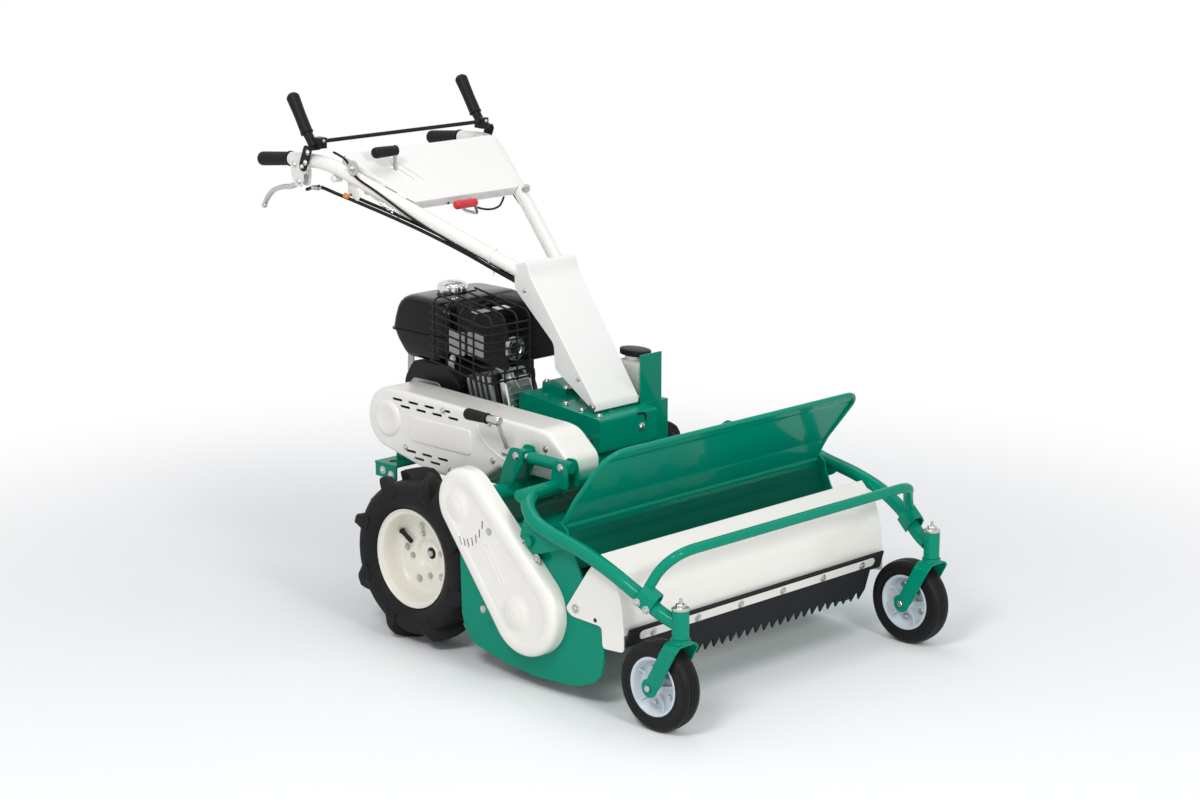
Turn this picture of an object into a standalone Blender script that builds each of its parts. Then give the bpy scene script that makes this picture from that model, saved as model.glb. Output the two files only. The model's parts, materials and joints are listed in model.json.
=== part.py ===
"""Walk-behind hammer knife mower, modelled as an assembly of separate pieces.

Metres, +Z up. The cutter head faces -Y and the operator stands at +Y. A station is a distance
back from the caster swivel axis; the origin lies on the ground, halfway along the machine.
"""

import math

import bmesh
import bpy
from mathutils import Matrix, Vector

MID_STATION = 0.760
GAP = 0.0003
NEAR, FAR = -1, 1
SIDE_NAMES = {NEAR: "near", FAR: "far"}

# Drive wheels, 4.00-8 with high lugs
AXLE_STATION = 0.873
WHEEL_X = 0.371
TYRE_RADIUS = 0.2057
CARCASS_RADIUS = 0.184
BEAD_RADIUS = 0.1085
RIM_RADIUS = 0.1153
LUGS_PER_ROW = 9
LUG_HEIGHT = 0.046
LUG_FOOT = (0.031, 0.022)
LUG_TOP_SHARE = 0.62
LUG_X = 0.0150
LUG_SLANT = math.radians(35)
AXLE_RADIUS = 0.0125
AXLE_END_X = 0.190

# Swivel casters, 200 mm wheels
SWIVEL_X = 0.424
CASTER_RADIUS = 0.100
CASTER_RIM_RADIUS = 0.0655
CASTER_HALF_WIDTH = 0.025
CASTER_TRAIL = 0.058
SWIVEL_TUBE_RADIUS = 0.0185
SWIVEL_BORE = 0.0130
STEM_RADIUS = 0.0120
SWIVEL_TOP_Z = 0.278
SWIVEL_LOW_Z = 0.216
FORK_CROWN_Z = 0.2055
FORK_HALF_WIDTH = 0.0335
FORK_STRAP = (0.042, 0.0045)

# Caster frame, front bar and height adjuster
FRAME_TUBE_RADIUS = 0.016
BAR_TUBE_RADIUS = 0.0115
LIFT_PIVOT = (0.428, 0.348)
LIFT_X = -0.312
SCREW_Z = 0.485
SCREW_PIN_STATION = 0.455
SCREW_PIN_RADIUS = 0.0050
SCREW_TUBE_RADIUS = 0.0140
SCREW_TUBE_BORE = 0.0112
SCREW_RADIUS = 0.0080
CRANK_STATION = 0.642
CRANK_PIN = (-0.335, 0.560)

# Cutter head
DECK_HALF = 0.430
PLATE = 0.006
SHEET = 0.003
ROTOR_AXIS = (0.435, 0.188)
KNIFE_ROWS = 3
KNIFE_ROD_RADIUS = 0.072
KNIFE_TIP_RADIUS = 0.144
KNIVES_PER_ROW = 6
COVER_HINGE = (0.355, 0.388)
COVER_TOP = (0.218, 0.575)
COVER_HALF = 0.420
HOOD_HALF = 0.4375
HOOD_ARC = [(0.221, 0.356), (0.183, 0.318), (0.166, 0.272), (0.158, 0.230), (0.154, 0.187)]
FLAP_STATION = 0.1450
FLAP_LEAN = math.radians(16)
FLAP_HALF = 0.428
TOOTHED_HALF = 0.392
FLAP_TEETH = 28
FLAP_CORNER_Z = 0.159
FLAP_TOP_Z = 0.202
FLAP_ROOT_Z = 0.108
FLAP_TIP_Z = 0.082

# Drive to the rotor, inside the side cover
CROSS_AXIS = (0.637, 0.397)
CROSS_TUBE_RADIUS = 0.0213
CROSS_TUBE_BORE = 0.0170
CROSS_SHAFT_RADIUS = 0.0100
SIDE_COVER_X = (-0.4750, -0.4340)
SIDE_COVER_RADII = (0.080, 0.104)
ROTOR_PULLEY_RADII = (0.052, 0.070)
ROTOR_BELT_X = (-0.4630, -0.4450)

# Engine, main belt and transmission
CRANK_AXIS = (1.102, 0.481)
INPUT_AXIS = (0.600, 0.482)
MAIN_PULLEY_RADII = (0.058, 0.045)
MAIN_BELT_X = (-0.2550, -0.2200)
BELT_CASE_X = (-0.2750, -0.1800)
ENGINE_BASE_Z = 0.375
RAIL_Z = (0.334, 0.3745)
RAIL_X = 0.116
BOX_HALF = 0.095
CAP_CENTRE = (-0.050, 1.116, 0.7485)
RESERVOIR_CENTRE = (0.130, 0.665)

# Handle
TUBE_RADIUS = 0.017
GRIP_RADIUS = 0.0165
PANEL_TOP = (0.246, 1.286, 1.096)
PANEL_LOW = (0.178, 1.112, 0.990)
PANEL_DEPTH = 0.026
GRIP_X = 0.277
BAIL_PIVOT = (1.372, 1.062)
LEVER_PIVOT = (1.396, 1.022)
SPEED_PIVOT = (1.222, 1.008)
SPEED_X = -0.1355
RED_PIVOT = (1.175, 0.9810)
MEMBER_RADIUS = 0.008


def at(x, station, z):
    """World place of a point given by its side, its station and its height."""
    return Vector((x, station - MID_STATION, z))


# Scene set-up

for old in list(bpy.data.objects):
    bpy.data.objects.remove(old, do_unlink=True)

parts = bpy.data.collections.new("hammer_knife_mower")
tools = bpy.data.collections.new("mower_cutters")
bpy.context.scene.collection.children.link(parts)
bpy.context.scene.collection.children.link(tools)


def make_material(name, colour, roughness, metallic=0.0):
    mat = bpy.data.materials.new(name)
    mat.use_nodes = True
    shader = mat.node_tree.nodes["Principled BSDF"]
    shader.inputs["Base Color"].default_value = (*colour, 1.0)
    shader.inputs["Roughness"].default_value = roughness
    shader.inputs["Metallic"].default_value = metallic
    mat.diffuse_color = (*colour, 1.0)
    return mat


PAINTS = {
    "green enamel": ((0.000, 0.310, 0.200), 0.30, 0.0),
    "white enamel": ((0.790, 0.765, 0.720), 0.35, 0.0),
    "cream enamel": ((0.780, 0.740, 0.640), 0.40, 0.0),
    "black enamel": ((0.012, 0.012, 0.013), 0.30, 0.0),
    "black rubber": ((0.022, 0.022, 0.024), 0.60, 0.0),
    "tyre rubber": ((0.035, 0.035, 0.037), 0.75, 0.0),
    "cast aluminium": ((0.420, 0.420, 0.420), 0.45, 0.9),
    "zinc plated steel": ((0.560, 0.570, 0.580), 0.30, 1.0),
    "bare steel": ((0.250, 0.250, 0.260), 0.50, 1.0),
    "grey nylon": ((0.620, 0.660, 0.720), 0.45, 0.0),
    "red plastic": ((0.700, 0.040, 0.045), 0.40, 0.0),
    "clear grey plastic": ((0.450, 0.460, 0.440), 0.40, 0.0),
}


# Basic shapes


def add_object(name, mesh):
    obj = bpy.data.objects.new(name, mesh)
    parts.objects.link(obj)
    return obj


def add_bmesh(name, bm):
    mesh = bpy.data.meshes.new(name)
    bm.to_mesh(mesh)
    bm.free()
    return add_object(name, mesh)


def box(name, size, centre, turn=None):
    """A box of a size about a centre, turned by a rotation matrix."""
    return boxes(name, [(size, centre, turn or Matrix.Identity(4))])


def boxes(name, specs):
    """Several boxes in one object; each is a size, a centre and a rotation."""
    bm = bmesh.new()
    for size, centre, turn in specs:
        shape = Matrix.Translation(centre) @ turn @ Matrix.Diagonal((*size, 1.0))
        bmesh.ops.create_cube(bm, size=1.0, matrix=shape)
    return add_bmesh(name, bm)


def rod(name, radius, start, end, sides=16, end_radius=None):
    """A round bar between two points, tapered when an end radius is given."""
    bm = bmesh.new()
    span = end - start
    aim = span.to_track_quat("Z", "Y").to_matrix().to_4x4()
    place = Matrix.Translation((start + end) / 2) @ aim
    second = radius if end_radius is None else end_radius
    bmesh.ops.create_cone(
        bm, cap_ends=True, segments=sides, radius1=radius, radius2=second, depth=span.length, matrix=place
    )
    return add_bmesh(name, bm)


def cross_rod(name, radius, axis, x_low, x_high, sides=16):
    """A round bar along X about a station and a height."""
    return rod(name, radius, at(x_low, *axis), at(x_high, *axis), sides)


def mesh_from_curve(name, curve, matrix):
    """The closed mesh of a curve object, its caps welded."""
    guide = bpy.data.objects.new(name + "_curve", curve)
    bpy.context.scene.collection.objects.link(guide)
    guide.matrix_world = matrix
    bpy.context.view_layer.update()
    graph = bpy.context.evaluated_depsgraph_get()
    mesh = bpy.data.meshes.new_from_object(guide.evaluated_get(graph))
    bm = bmesh.new()
    bm.from_mesh(mesh)
    bmesh.ops.remove_doubles(bm, verts=bm.verts, dist=1e-6)
    bmesh.ops.transform(bm, matrix=matrix, verts=bm.verts)
    bpy.data.objects.remove(guide, do_unlink=True)
    obj = add_bmesh(name, bm)
    bpy.data.meshes.remove(mesh)
    return obj


def flat_plate(name, outline, thickness, matrix):
    """A flat outline with a thickness about its own plane."""
    curve = bpy.data.curves.new(name, "CURVE")
    curve.dimensions = "2D"
    curve.fill_mode = "BOTH"
    curve.extrude = thickness / 2
    spline = curve.splines.new("POLY")
    spline.points.add(len(outline) - 1)
    for point, (u, v) in zip(spline.points, outline):
        point.co = (u, v, 0.0, 1.0)
    spline.use_cyclic_u = True
    return mesh_from_curve(name, curve, matrix)


def side_plate(name, outline, x_low, x_high):
    """A plate that lies across X, its outline given as stations and heights."""
    turn = Matrix(((0, 0, 1, 0), (1, 0, 0, 0), (0, 1, 0, 0), (0, 0, 0, 1)))
    place = Matrix.Translation(at((x_low + x_high) / 2, 0.0, 0.0)) @ turn
    return flat_plate(name, outline, x_high - x_low, place)


def tube(name, points, radius, resolution=2):
    """A round tube or wire along a list of points."""
    curve = bpy.data.curves.new(name, "CURVE")
    curve.dimensions = "3D"
    curve.bevel_depth = radius
    curve.bevel_resolution = resolution
    curve.use_fill_caps = True
    spline = curve.splines.new("POLY")
    spline.points.add(len(points) - 1)
    for point, place in zip(spline.points, points):
        point.co = (*place, 1.0)
    return mesh_from_curve(name, curve, Matrix.Identity(4))


def turned(name, profile, centre, steps=24, outward=1, closed=False):
    """A profile of (along, radius) turned about X; along grows towards outward times X.

    The profile runs down its outer side, from high along to low.
    """
    bm = bmesh.new()
    verts = [bm.verts.new((radius, 0.0, along)) for along, radius in profile]
    for first, second in zip(verts, verts[1:]):
        bm.edges.new((first, second))
    if closed:
        bm.edges.new((verts[-1], verts[0]))
    obj = add_bmesh(name, bm)
    screw = obj.modifiers.new("turn", "SCREW")
    screw.axis = "Z"
    screw.steps = steps
    screw.render_steps = steps
    screw.use_merge_vertices = True
    screw.merge_threshold = 0.00001
    screw.use_smooth_shade = True
    obj.matrix_world = Matrix.Translation(centre) @ Matrix.Rotation(outward * math.pi / 2, 4, "Y")
    return obj


def sheet(name, outline, x_low, x_high, thickness, offset=0.0):
    """A bent sheet across X, its section given as stations and heights."""
    bm = bmesh.new()
    verts = [bm.verts.new(at(x_low, *place)) for place in outline]
    edges = [bm.edges.new(pair) for pair in zip(verts, verts[1:])]
    grown = bmesh.ops.extrude_edge_only(bm, edges=edges)
    moved = [item for item in grown["geom"] if isinstance(item, bmesh.types.BMVert)]
    bmesh.ops.translate(bm, vec=(x_high - x_low, 0, 0), verts=moved)
    obj = add_bmesh(name, bm)
    wall = obj.modifiers.new("wall", "SOLIDIFY")
    wall.thickness = thickness
    wall.offset = offset
    return obj


# Outline helpers


def arc(centre, radius, start, end, steps):
    """Points along an arc, in degrees, both ends included."""
    points = []
    for step in range(steps + 1):
        angle = math.radians(start + (end - start) * step / steps)
        points.append((centre[0] + radius * math.cos(angle), centre[1] + radius * math.sin(angle)))
    return points


def circle(centre, radius, steps=20):
    return arc(centre, radius, 0, 360, steps)[:-1]


def hull(points):
    """The convex outline round a set of points."""
    ordered = sorted(set((round(u, 7), round(v, 7)) for u, v in points))

    def chain(items):
        kept = []
        for item in items:
            while len(kept) > 1:
                (u0, v0), (u1, v1) = kept[-2], kept[-1]
                if (u1 - u0) * (item[1] - v0) - (v1 - v0) * (item[0] - u0) > 0:
                    break
                kept.pop()
            kept.append(item)
        return kept[:-1]

    return chain(ordered) + chain(ordered[::-1])


def capsule(first, first_radius, second, second_radius, steps=20):
    """The outline of a loop round two circles, as a belt or its cover has."""
    return hull(circle(first, first_radius, steps) + circle(second, second_radius, steps))


def rounded(outline, radius, steps=3):
    """The same outline with every corner turned into a short curve."""
    points = []
    count = len(outline)
    for index, corner in enumerate(outline):
        corner = Vector(corner)
        before = Vector(outline[index - 1]) - corner
        after = Vector(outline[(index + 1) % count]) - corner
        start = corner + before.normalized() * min(radius, before.length * 0.45)
        end = corner + after.normalized() * min(radius, after.length * 0.45)
        for step in range(steps + 1):
            t = step / steps
            points.append(tuple(start * (1 - t) ** 2 + corner * 2 * t * (1 - t) + end * t * t))
    return points


def bent_path(corners, radius, steps=3):
    """A path of straight runs with a curve at each inner corner."""
    points = [corners[0]]
    for before, corner, after in zip(corners, corners[1:], corners[2:]):
        back = before - corner
        ahead = after - corner
        start = corner + back.normalized() * min(radius, back.length * 0.45)
        end = corner + ahead.normalized() * min(radius, ahead.length * 0.45)
        for step in range(steps + 1):
            t = step / steps
            points.append(start * (1 - t) ** 2 + corner * 2 * t * (1 - t) + end * t * t)
    return points + [corners[-1]]


def smooth_path(corners, steps=4):
    """A smooth curve through every given point."""
    points = []
    padded = [corners[0], *corners, corners[-1]]
    for p0, p1, p2, p3 in zip(padded, padded[1:], padded[2:], padded[3:]):
        for step in range(steps):
            t = step / steps
            points.append(
                0.5 * (2 * p1 + (p2 - p0) * t + (2 * p0 - 5 * p1 + 4 * p2 - p3) * t * t
                       + (3 * p1 - p0 - 3 * p2 + p3) * t ** 3)
            )
    return points + [corners[-1]]


def both_sides(points):
    """A path from the near side to the middle, carried on to the far side."""
    return points + [Vector((-p.x, p.y, p.z)) for p in reversed(points)]


# Combining and finishing


def use_tool(obj):
    parts.objects.unlink(obj)
    tools.objects.link(obj)
    obj.hide_render = True
    obj.display_type = "WIRE"
    return obj


def combine(target, others, operation):
    for other in others:
        change = target.modifiers.new(other.name, "BOOLEAN")
        change.operation = operation
        change.solver = "EXACT"
        change.object = use_tool(other)
    return target


def join(target, *others):
    return combine(target, others, "UNION")


def cut(target, *cutters):
    return combine(target, cutters, "DIFFERENCE")


def soften(obj, width, segments=1):
    bevel = obj.modifiers.new("soft edges", "BEVEL")
    bevel.width = width
    bevel.segments = segments
    bevel.limit_method = "ANGLE"
    bevel.angle_limit = math.radians(40)
    return obj


def finish(obj, paint):
    """Give a piece its material, named for the piece, and smooth its round faces."""
    mat = make_material(obj.name + " " + paint, *PAINTS[paint])
    obj.data.materials.clear()
    obj.data.materials.append(mat)
    if obj.data.polygons:
        obj.data.shade_smooth()
        obj.data.set_sharp_from_angle(angle=math.radians(35))
    return obj


def joint_at(name, place, parent=None):
    """An empty on a joint's axis, for the pieces that move about it."""
    empty = bpy.data.objects.new(name, None)
    empty.empty_display_size = 0.03
    parts.objects.link(empty)
    empty.location = place
    if parent:
        empty.parent = parent
        empty.matrix_parent_inverse = Matrix.Translation(-joint_places[parent.name])
    joint_places[name] = Vector(place)
    return empty


joint_places = {}


def carry(joint, *objects):
    for obj in objects:
        obj.parent = joint
        obj.matrix_parent_inverse = Matrix.Translation(-joint_places[joint.name])


# Drive wheels


def drive_tyre(side):
    """Carcass with a bead on each side, and two rows of slanted lugs half a step apart."""
    name = "drive_tyre_" + SIDE_NAMES[side]
    centre = at(side * WHEEL_X, AXLE_STATION, TYRE_RADIUS)
    half = [(0.0340, BEAD_RADIUS), (0.0342, 0.1165), (0.0480, 0.1290), (0.0525, 0.1480), (0.0510, 0.1680), (0.0360, 0.1810),
            (0.0, CARCASS_RADIUS)]
    profile = half + [(-along, radius) for along, radius in half[-2::-1]]
    tyre = turned(name, profile, centre, steps=20, outward=side, closed=True)
    bm = bmesh.new()
    for row in (NEAR, FAR):
        for index in range(LUGS_PER_ROW):
            angle = 2 * math.pi * (index + (0.5 if row == FAR else 0.0)) / LUGS_PER_ROW
            turn = Matrix.Rotation(angle, 4, "X")
            lift = TYRE_RADIUS - LUG_HEIGHT / 2
            place = Matrix.Translation(centre + turn @ Vector((row * LUG_X, 0.0, -lift)))
            lean = turn @ Matrix.Rotation(row * LUG_SLANT, 4, "Z")
            shape = Matrix.Diagonal((*LUG_FOOT, LUG_HEIGHT, 1.0)) @ Matrix.Rotation(math.pi / 4, 4, "Z")
            bmesh.ops.create_cone(
                bm, cap_ends=True, segments=4, radius1=math.sqrt(2) * LUG_TOP_SHARE, radius2=math.sqrt(2),
                depth=1.0, matrix=place @ lean @ shape
            )
    join(tyre, add_bmesh(name + "_lugs", bm))
    return finish(tyre, "tyre rubber")


def drive_rim(side):
    """Deep-dished rim, its disc, hub and stub axle."""
    profile = [
        (-0.028, 0.0), (-0.028, 0.010), (-0.036, 0.010), (-0.036, 0.033), (-0.012, 0.038), (-0.012, 0.100),
        (0.033, 0.104), (0.038, RIM_RADIUS),
        (0.0350, RIM_RADIUS), (0.0345, 0.1080), (-0.0345, 0.1080), (-0.0350, RIM_RADIUS), (-0.038, RIM_RADIUS),
        (-0.038, 0.104), (-0.018, 0.104), (-0.018, 0.044), (-0.046, 0.040), (-0.046, AXLE_RADIUS),
        (AXLE_END_X - WHEEL_X, AXLE_RADIUS), (AXLE_END_X - WHEEL_X, 0.0),
    ]
    centre = at(side * WHEEL_X, AXLE_STATION, TYRE_RADIUS)
    rim = turned("drive_rim_" + SIDE_NAMES[side], profile, centre, steps=20, outward=side)
    return finish(rim, "cream enamel")


def build_drive_wheels():
    for side in (NEAR, FAR):
        hub = joint_at("wheel_axis_" + SIDE_NAMES[side], at(side * WHEEL_X, AXLE_STATION, TYRE_RADIUS))
        carry(hub, drive_tyre(side), drive_rim(side))


# Casters and their frame


def caster_tyre(side, centre):
    half = [(0.0240, 0.0660), (0.0250, 0.0820), (0.0190, 0.0950), (0.0090, CASTER_RADIUS)]
    profile = half + [(-along, radius) for along, radius in half[::-1]]
    tyre = turned("caster_tyre_" + SIDE_NAMES[side], profile, centre, steps=20, closed=True)
    return finish(tyre, "black rubber")


def caster_rim(side, centre):
    half = [(0.0240, CASTER_RIM_RADIUS), (0.0240, 0.0600), (0.0040, 0.0560), (0.0040, 0.0200),
            (0.0260, 0.0180), (0.0260, 0.0080)]
    loop = half[::-1] + [(-along, radius) for along, radius in half]
    rim = turned("caster_rim_" + SIDE_NAMES[side], loop, centre, steps=20, closed=True)
    return finish(rim, "grey nylon")


def caster_fork(side, centre):
    """Stem, collar and a strap bent over the wheel, its legs sloping back to the axle."""
    name = "caster_fork_" + SIDE_NAMES[side]
    x = side * SWIVEL_X
    half, crown = FORK_HALF_WIDTH, FORK_CROWN_Z
    shoulder = 0.016
    lean = CASTER_TRAIL / (crown - CASTER_RADIUS)
    section = [(-half, CASTER_RADIUS), (-half, crown - shoulder)]
    section += arc((-half + shoulder, crown - shoulder), shoulder, 180, 90, 2)[1:]
    section += [(-u, v) for u, v in reversed(section)]
    bm = bmesh.new()
    width = FORK_STRAP[0]
    rows = []
    for station in (-width / 2, width / 2):
        row = []
        for across, height in section:
            back = lean * max(0.0, crown - shoulder / 2 - height)
            row.append(bm.verts.new(at(x + across, station + back, height)))
        rows.append(row)
    for index in range(len(section) - 1):
        bm.faces.new((rows[0][index], rows[0][index + 1], rows[1][index + 1], rows[1][index]))
    fork = add_bmesh(name, bm)
    wall = fork.modifiers.new("strap", "SOLIDIFY")
    wall.thickness = FORK_STRAP[1]
    wall.offset = 0.0
    stem = rod(name + "_stem", STEM_RADIUS, at(x, 0, crown - 0.001), at(x, 0, SWIVEL_TOP_Z + 0.006), 10)
    collar = rod(name + "_collar", 0.0205, at(x, 0, crown - 0.001), at(x, 0, SWIVEL_LOW_Z - GAP), 10)
    washer = rod(name + "_washer", 0.0195, at(x, 0, SWIVEL_TOP_Z + GAP), at(x, 0, SWIVEL_TOP_Z + 0.005), 10)
    nut = rod(name + "_nut", 0.0110, at(x, 0, SWIVEL_TOP_Z + 0.004), at(x, 0, SWIVEL_TOP_Z + 0.014), 6)
    nipple = rod(name + "_nipple", 0.0050, at(x, 0, SWIVEL_TOP_Z + 0.013), at(x, 0, SWIVEL_TOP_Z + 0.026), 6)
    eyes = [
        rod(name + "_eye_%d" % index, 0.0205, centre + Vector((low, 0, 0)), centre + Vector((high, 0, 0)), 10)
        for index, (low, high) in enumerate(((-half - 0.003, -half + 0.003), (half - 0.003, half + 0.003)))
    ]
    bolt = rod(name + "_bolt", 0.0065, centre - Vector((0.044, 0, 0)), centre + Vector((0.044, 0, 0)), 8)
    join(fork, stem, collar, washer, nut, nipple, *eyes, bolt)
    return finish(fork, "green enamel")


def frame_side_path():
    """One half of the caster frame's tube, from the swivel round to its middle."""
    stops = [(-0.424, 0.012, 0.247), (-0.434, 0.050, 0.264), (-0.452, 0.110, 0.303), (-0.460, 0.180, 0.337),
             (-0.460, 0.260, 0.362), (-0.460, 0.350, 0.380), (-0.456, 0.405, 0.396), (-0.440, 0.445, 0.418),
             (-0.410, 0.468, 0.433), (-0.370, 0.475, 0.438)]
    return [at(*stop) for stop in stops]


def caster_frame():
    """Bent tube with a swivel tube at each front end, pivot gussets and the screw bracket."""
    frame = tube("caster_frame", both_sides(frame_side_path()), FRAME_TUBE_RADIUS)
    for side in (NEAR, FAR):
        label = SIDE_NAMES[side]
        x = side * SWIVEL_X
        low_z, top_z = SWIVEL_LOW_Z, SWIVEL_TOP_Z
        swivel = rod("swivel_tube_" + label, SWIVEL_TUBE_RADIUS, at(x, 0, low_z), at(x, 0, top_z), 12)
        outline = rounded([(0.372, 0.383), (0.372, 0.366), (0.412, 0.334), (0.434, 0.331), (0.448, 0.345),
                           (0.444, 0.372), (0.440, 0.415)], 0.012, 1)
        low, high = sorted((side * 0.4455, side * 0.4505))
        gusset = side_plate("pivot_gusset_" + label, outline, low, high)
        join(frame, swivel, gusset)
        bore = rod("swivel_bore_" + label, SWIVEL_BORE, at(x, 0, low_z - 0.01), at(x, 0, top_z + 0.01), 10)
        hole = cross_rod("pivot_hole_" + label, 0.0090, LIFT_PIVOT, *sorted((side * 0.440, side * 0.456)), 10)
        cut(frame, bore, hole)
    outline = [(0.432, 0.438), (0.488, 0.438), (0.484, 0.474), (0.470, 0.501), (0.440, 0.501), (0.434, 0.485)]
    inner = SCREW_TUBE_RADIUS + 0.0006
    for index, low in enumerate((LIFT_X - inner - 0.004, LIFT_X + inner)):
        join(frame, side_plate("screw_ear_%d" % index, outline, low, low + 0.004))
    cut(frame, cross_rod("screw_pin_hole", SCREW_PIN_RADIUS + 0.0004, (SCREW_PIN_STATION, SCREW_Z), -0.335, -0.290, 8))
    return finish(frame, "green enamel")


def front_bar():
    """Guard bar across the front, on a saddle over each side of the caster frame."""
    stops = [(-0.438, 0.079, 0.316), (-0.420, 0.070, 0.345), (-0.400, 0.050, 0.374), (-0.368, 0.038, 0.387),
             (-0.330, 0.036, 0.388)]
    bar = tube("front_bar", both_sides([at(*stop) for stop in stops]), BAR_TUBE_RADIUS)
    slope = math.radians(32)
    for side in (NEAR, FAR):
        label = SIDE_NAMES[side]
        inner = FRAME_TUBE_RADIUS + 0.0012
        wall = 0.004
        centre = at(side * 0.4435, 0.080, 0.2835)
        turn = Matrix.Rotation(-side * 0.29, 4, "Z") @ Matrix.Rotation(slope, 4, "X")
        outer_size = (2 * (inner + wall), 0.050, 0.056)
        inner_size = (2 * inner, 0.070, 0.056)
        lift = turn @ Vector((0, 0, 0.014))
        drop = turn @ Vector((0, 0, 0.014 - 2 * wall))
        join(bar, box("saddle_" + label, outer_size, centre + lift, turn))
        cut(bar, box("saddle_gap_" + label, inner_size, centre + drop, turn))
    return finish(bar, "green enamel")


def screw_tube():
    """Tube on a cross pin between the ears; the threaded rod runs up its bore."""
    start = at(LIFT_X, 0.437, SCREW_Z)
    end = at(LIFT_X, 0.570, SCREW_Z)
    body = rod("lift_screw_tube", SCREW_TUBE_RADIUS, start, end, 12)
    join(body, cross_rod("screw_pin", SCREW_PIN_RADIUS, (SCREW_PIN_STATION, SCREW_Z), -0.3285, -0.2955, 8))
    cut(body, rod("screw_tube_bore", SCREW_TUBE_BORE, at(LIFT_X, 0.462, SCREW_Z), at(LIFT_X, 0.600, SCREW_Z), 12))
    return finish(body, "green enamel")


def lift_crank():
    """Threaded rod, hub, arm and the pin that carries the grip."""
    crank = rod("lift_crank", SCREW_RADIUS, at(LIFT_X, 0.480, SCREW_Z), at(LIFT_X, 0.640, SCREW_Z), 12)
    hub = rod("crank_hub", 0.0115, at(LIFT_X, 0.6076, SCREW_Z), at(LIFT_X, 0.656, SCREW_Z), 12)
    arm_end = at(CRANK_PIN[0], CRANK_STATION + 0.015, CRANK_PIN[1])
    arm = rod("crank_arm", 0.0050, at(LIFT_X, CRANK_STATION, SCREW_Z), arm_end, 8)
    pin_x, pin_z = CRANK_PIN
    sleeve = rod("crank_sleeve", 0.0100, at(pin_x, 0.645, pin_z), at(pin_x, 0.684, pin_z), 12)
    pin = rod("crank_pin", 0.0040, at(pin_x, 0.680, pin_z), at(pin_x, 0.745, pin_z), 10)
    join(crank, hub, arm, sleeve, pin)
    return finish(crank, "zinc plated steel")


def crank_grip():
    grip = rod("crank_grip", 0.0120, at(CRANK_PIN[0], 0.6845, CRANK_PIN[1]), at(CRANK_PIN[0], 0.757, CRANK_PIN[1]),
               end_radius=0.0135)
    bore_end = at(CRANK_PIN[0], 0.748, CRANK_PIN[1])
    cut(grip, rod("crank_grip_bore", 0.0045, at(CRANK_PIN[0], 0.680, CRANK_PIN[1]), bore_end, 10))
    return finish(grip, "black rubber")


def build_front_gear():
    lift = joint_at("lift_axis", at(0, *LIFT_PIVOT))
    carry(lift, caster_frame(), front_bar())
    screw = joint_at("screw_pin_axis", at(LIFT_X, SCREW_PIN_STATION, SCREW_Z), lift)
    carry(screw, screw_tube())
    for side in (NEAR, FAR):
        label = SIDE_NAMES[side]
        swivel = joint_at("swivel_axis_" + label, at(side * SWIVEL_X, 0, FORK_CROWN_Z), lift)
        centre = at(side * SWIVEL_X, CASTER_TRAIL, CASTER_RADIUS)
        carry(swivel, caster_fork(side, centre))
        wheel = joint_at("caster_axis_" + label, centre, swivel)
        carry(wheel, caster_rim(side, centre), caster_tyre(side, centre))
    crank = joint_at("crank_axis", at(LIFT_X, CRANK_STATION, SCREW_Z))
    carry(crank, lift_crank())
    pin = joint_at("crank_pin_axis", at(CRANK_PIN[0], 0.684, CRANK_PIN[1]), crank)
    carry(pin, crank_grip())


# Cutter head


def deck_side(side):
    """Outline of a side plate; the near one rises behind the side cover."""
    outline = [(0.217, 0.112), (0.234, 0.064), (0.300, 0.038), (0.420, 0.030), (0.520, 0.038), (0.640, 0.062),
               (0.672, 0.110), (0.680, 0.380), (0.662, 0.432), (0.605, 0.432), (0.560, 0.372),
               (0.378, 0.372), (0.374, 0.401), (0.336, 0.401), (0.322, 0.345), (0.250, 0.235), (0.217, 0.180)]
    low, high = sorted((side * (DECK_HALF - PLATE / 2), side * (DECK_HALF + PLATE / 2)))
    return side_plate("deck_side_" + SIDE_NAMES[side], rounded(outline, 0.015, 1), low, high)


def mower_deck():
    """Two side plates, the shell over the rotor and the pins the caster frame turns on."""
    shell = [(0.352, 0.318), (0.343, 0.358), (0.352, 0.3725), (0.400, 0.375), (0.500, 0.366), (0.562, 0.330),
             (0.598, 0.260), (0.604, 0.130)]
    deck = sheet("mower_deck", shell, -DECK_HALF, DECK_HALF, SHEET)
    for side in (NEAR, FAR):
        label = SIDE_NAMES[side]
        join(deck, deck_side(side))
        pin = cross_rod("lift_pin_" + label, 0.0082, LIFT_PIVOT, *sorted((side * 0.428, side * 0.4585)), 10)
        head = cross_rod("lift_pin_head_" + label, 0.0120, LIFT_PIVOT, *sorted((side * 0.4525, side * 0.4585)), 10)
        spacer = cross_rod("lift_spacer_" + label, 0.0130, LIFT_PIVOT, *sorted((side * 0.428, side * 0.4450)), 10)
        hinge = cross_rod("hinge_pin_" + label, 0.0040, COVER_HINGE, *sorted((side * 0.4180, side * 0.430)), 8)
        join(deck, pin, head, spacer, hinge)
        reach = sorted((side * 0.420, side * 0.440))
        cut(deck, cross_rod("rotor_hole_" + label, 0.0140, ROTOR_AXIS, *reach, 12))
    cut(deck, cross_rod("cross_shaft_hole", 0.0120, CROSS_AXIS, -0.440, -0.420, 12))
    return finish(deck, "green enamel")


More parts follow.
